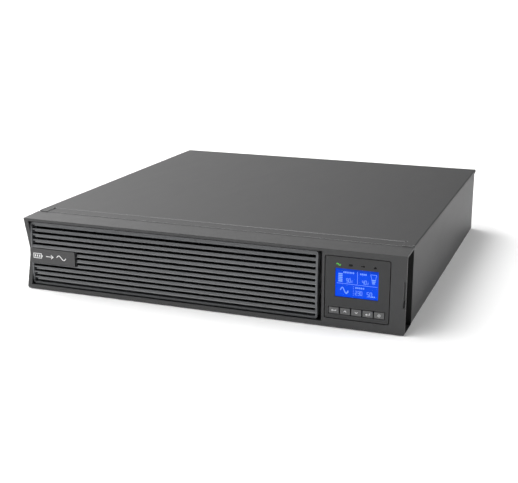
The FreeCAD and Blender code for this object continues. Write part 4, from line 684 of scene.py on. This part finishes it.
def button_pictures():
    """One plain sign for each button: return arrow, up, down, enter arrow, power ring."""
    back = [([(-2.2, 0.0), (2.4, 0.0), (2.4, 1.3)], 0.45, False),
            ([(-1.2, 1.0), (-2.3, 0.0), (-1.2, -1.0)], 0.45, False)]
    up = [([(-1.3, -0.6), (0.0, 0.7), (1.3, -0.6)], 0.6, False)]
    down = [([(-1.3, 0.6), (0.0, -0.7), (1.3, 0.6)], 0.6, False)]
    enter = [([(2.2, 1.3), (2.2, -0.6), (-1.8, -0.6)], 0.5, False),
             ([(-0.9, 0.3), (-1.9, -0.6), (-0.9, -1.5)], 0.5, False)]
    power = [(arc(0.0, -0.1, 1.25, 125, 415), 0.45, False), ([(0.0, 0.2), (0.0, 1.6)], 0.45, False)]
    return {"escape": back, "up": up, "down": down, "enter": enter, "power": power}


def make_button_pictures():
    for name, strokes in button_pictures().items():
        low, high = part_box("button_" + name)
        printed("legend_" + name, strokes, front_middle(low, high), LEGEND_THICKNESS, PRINT_WHITE,
                "button_" + name)


def badge_strokes():
    """Three plain signs in place of a name: a battery, an arrow and a mains wave."""
    strokes = [
        ([(-5.0, -2.6), (5.0, -2.6), (5.0, 2.6), (-5.0, 2.6)], 0.8, True),
        ([(6.1, -1.1), (6.1, 1.1)], 1.0, False),
    ]
    for i in range(3):
        strokes.append(([(-2.9 + i * 2.8, -1.3), (-2.9 + i * 2.8, 1.3)], 1.5, False))
    strokes.append(([(11.0, 0.0), (20.0, 0.0)], 0.8, False))
    strokes.append(([(17.6, 2.2), (20.4, 0.0), (17.6, -2.2)], 0.8, False))
    strokes += shifted([(wave(12.0, 4.8), 0.95, False)], 31.0, 0.0)
    return strokes


def make_badge_mark():
    low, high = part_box("badge_plate")
    origin = Vector((low.x + BADGE_MARK_START, low.y, (low.z + high.z) / 2))
    printed("badge_mark", badge_strokes(), origin, INK_THICKNESS, PRINT_WHITE, "louvre")


# ------------------------------------------------------------------ behind the louvres


def box_mesh(name, low, high, material, body):
    mesh = bmesh.new()
    bmesh.ops.create_cube(mesh, size=1.0)
    bmesh.ops.scale(mesh, vec=high - low, verts=mesh.verts)
    bmesh.ops.translate(mesh, vec=(low + high) / 2, verts=mesh.verts)
    obj = piece_from(name, mesh, material)
    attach(obj, body)
    return obj


def make_dust_screen():
    """A dust screen clipped into the back of the louvre panel, near black as painted shade in the louvre
    gaps.
    """
    low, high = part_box("louvre_panel")
    back = high.y - DUST_BACK
    front = back - DUST_THICKNESS
    screen = box_mesh("dust_screen", Vector((low.x, front, low.z)) + DUST_RIM,
                      Vector((high.x, back, high.z)) - DUST_RIM, DUST_SCREEN_AND_PAINTED_SHADE, "louvre")
    soften(screen, DUST_BEVEL)


# ------------------------------------------------------------------ stage


def make_floor():
    """White paper whose glow grows with distance, so that it fades into the backdrop."""
    data = bpy.data.meshes.new("floor")
    corners = [(x * FLOOR_REACH, y * FLOOR_REACH, 0) for x, y in ((-1, -1), (1, -1), (1, 1), (-1, 1))]
    data.from_pydata(corners, [], [(0, 1, 2, 3)])
    floor = bpy.data.objects.new("floor", data)
    floor.location.z = -FLOOR_DROP
    bpy.context.scene.collection.objects.link(floor)
    s = Surface("floor_paper")
    s.colour(s.blend(s.remap(s.noise(0.6), 0.0, 1.0), (0.93, 0.93, 0.93), (0.95, 0.95, 0.95)))
    s.roughness(s.remap(s.noise(3.0), 0.85, 0.95))
    s.sheen(FLOOR_SHEEN)
    away = s.nodes.new("ShaderNodeVectorMath")
    away.operation = "LENGTH"
    s.link(s.place, away.inputs[0])
    s.glow((1.0, 1.0, 1.0))
    strength = s.remap(away.outputs["Value"], *FLOOR_GLOW, FLOOR_GLOW_SPAN)
    s.link(strength, s.shader.inputs["Emission Strength"])
    data.materials.append(s.material)


def make_area(name, place, target, size, power):
    data = bpy.data.lights.new(name, "AREA")
    data.shape = "RECTANGLE"
    data.size, data.size_y = size
    data.energy = power
    lamp = bpy.data.objects.new(name, data)
    lamp.location = place
    lamp.rotation_euler = (Vector(target) - Vector(place)).to_track_quat("-Z", "Y").to_euler()
    bpy.context.scene.collection.objects.link(lamp)


def make_sky():
    world = bpy.data.worlds.new("studio")
    world.use_nodes = True
    nodes, links = world.node_tree.nodes, world.node_tree.links
    background = nodes["Background"]
    background.inputs["Color"].default_value = (1.0, 1.0, 1.0, 1.0)
    split = nodes.new("ShaderNodeSeparateXYZ")
    links.new(nodes.new("ShaderNodeTexCoord").outputs["Generated"], split.inputs["Vector"])
    fade = nodes.new("ShaderNodeMapRange")
    fade.inputs["From Min"].default_value, fade.inputs["From Max"].default_value = SKY_FADE
    fade.inputs["To Min"].default_value = SKY_LEFT
    fade.inputs["To Max"].default_value = SKY_RIGHT
    links.new(split.outputs["X"], fade.inputs["Value"])
    seen = nodes.new("ShaderNodeMix")
    seen.inputs["B"].default_value = SKY_SEEN
    links.new(nodes.new("ShaderNodeLightPath").outputs["Is Camera Ray"], seen.inputs["Factor"])
    links.new(fade.outputs["Result"], seen.inputs["A"])
    links.new(seen.outputs["Result"], background.inputs["Strength"])
    bpy.context.scene.world = world


def make_light():
    make_sky()
    for name, (place, target, size, power) in LAMPS.items():
        make_area(name, place, target, size, power)
    bpy.context.scene.view_settings.view_transform = "Standard"


def make_camera():
    data = bpy.data.cameras.new("camera")
    data.lens = CAMERA_LENS
    data.sensor_width = SENSOR_WIDTH
    camera = bpy.data.objects.new("camera", data)
    camera.location = CAMERA_PLACE
    level = math.cos(CAMERA_ELEVATION)
    forward = Vector((-math.sin(CAMERA_AZIMUTH) * level, math.cos(CAMERA_AZIMUTH) * level,
                      -math.sin(CAMERA_ELEVATION)))
    camera.rotation_euler = forward.to_track_quat("-Z", "Y").to_euler()
    bpy.context.scene.collection.objects.link(camera)
    bpy.context.scene.camera = camera


make_camera()
dress_nodes()
make_screen_picture()
make_indicator_pictures()
make_button_pictures()
make_badge_mark()
make_dust_screen()
make_floor()
make_light()
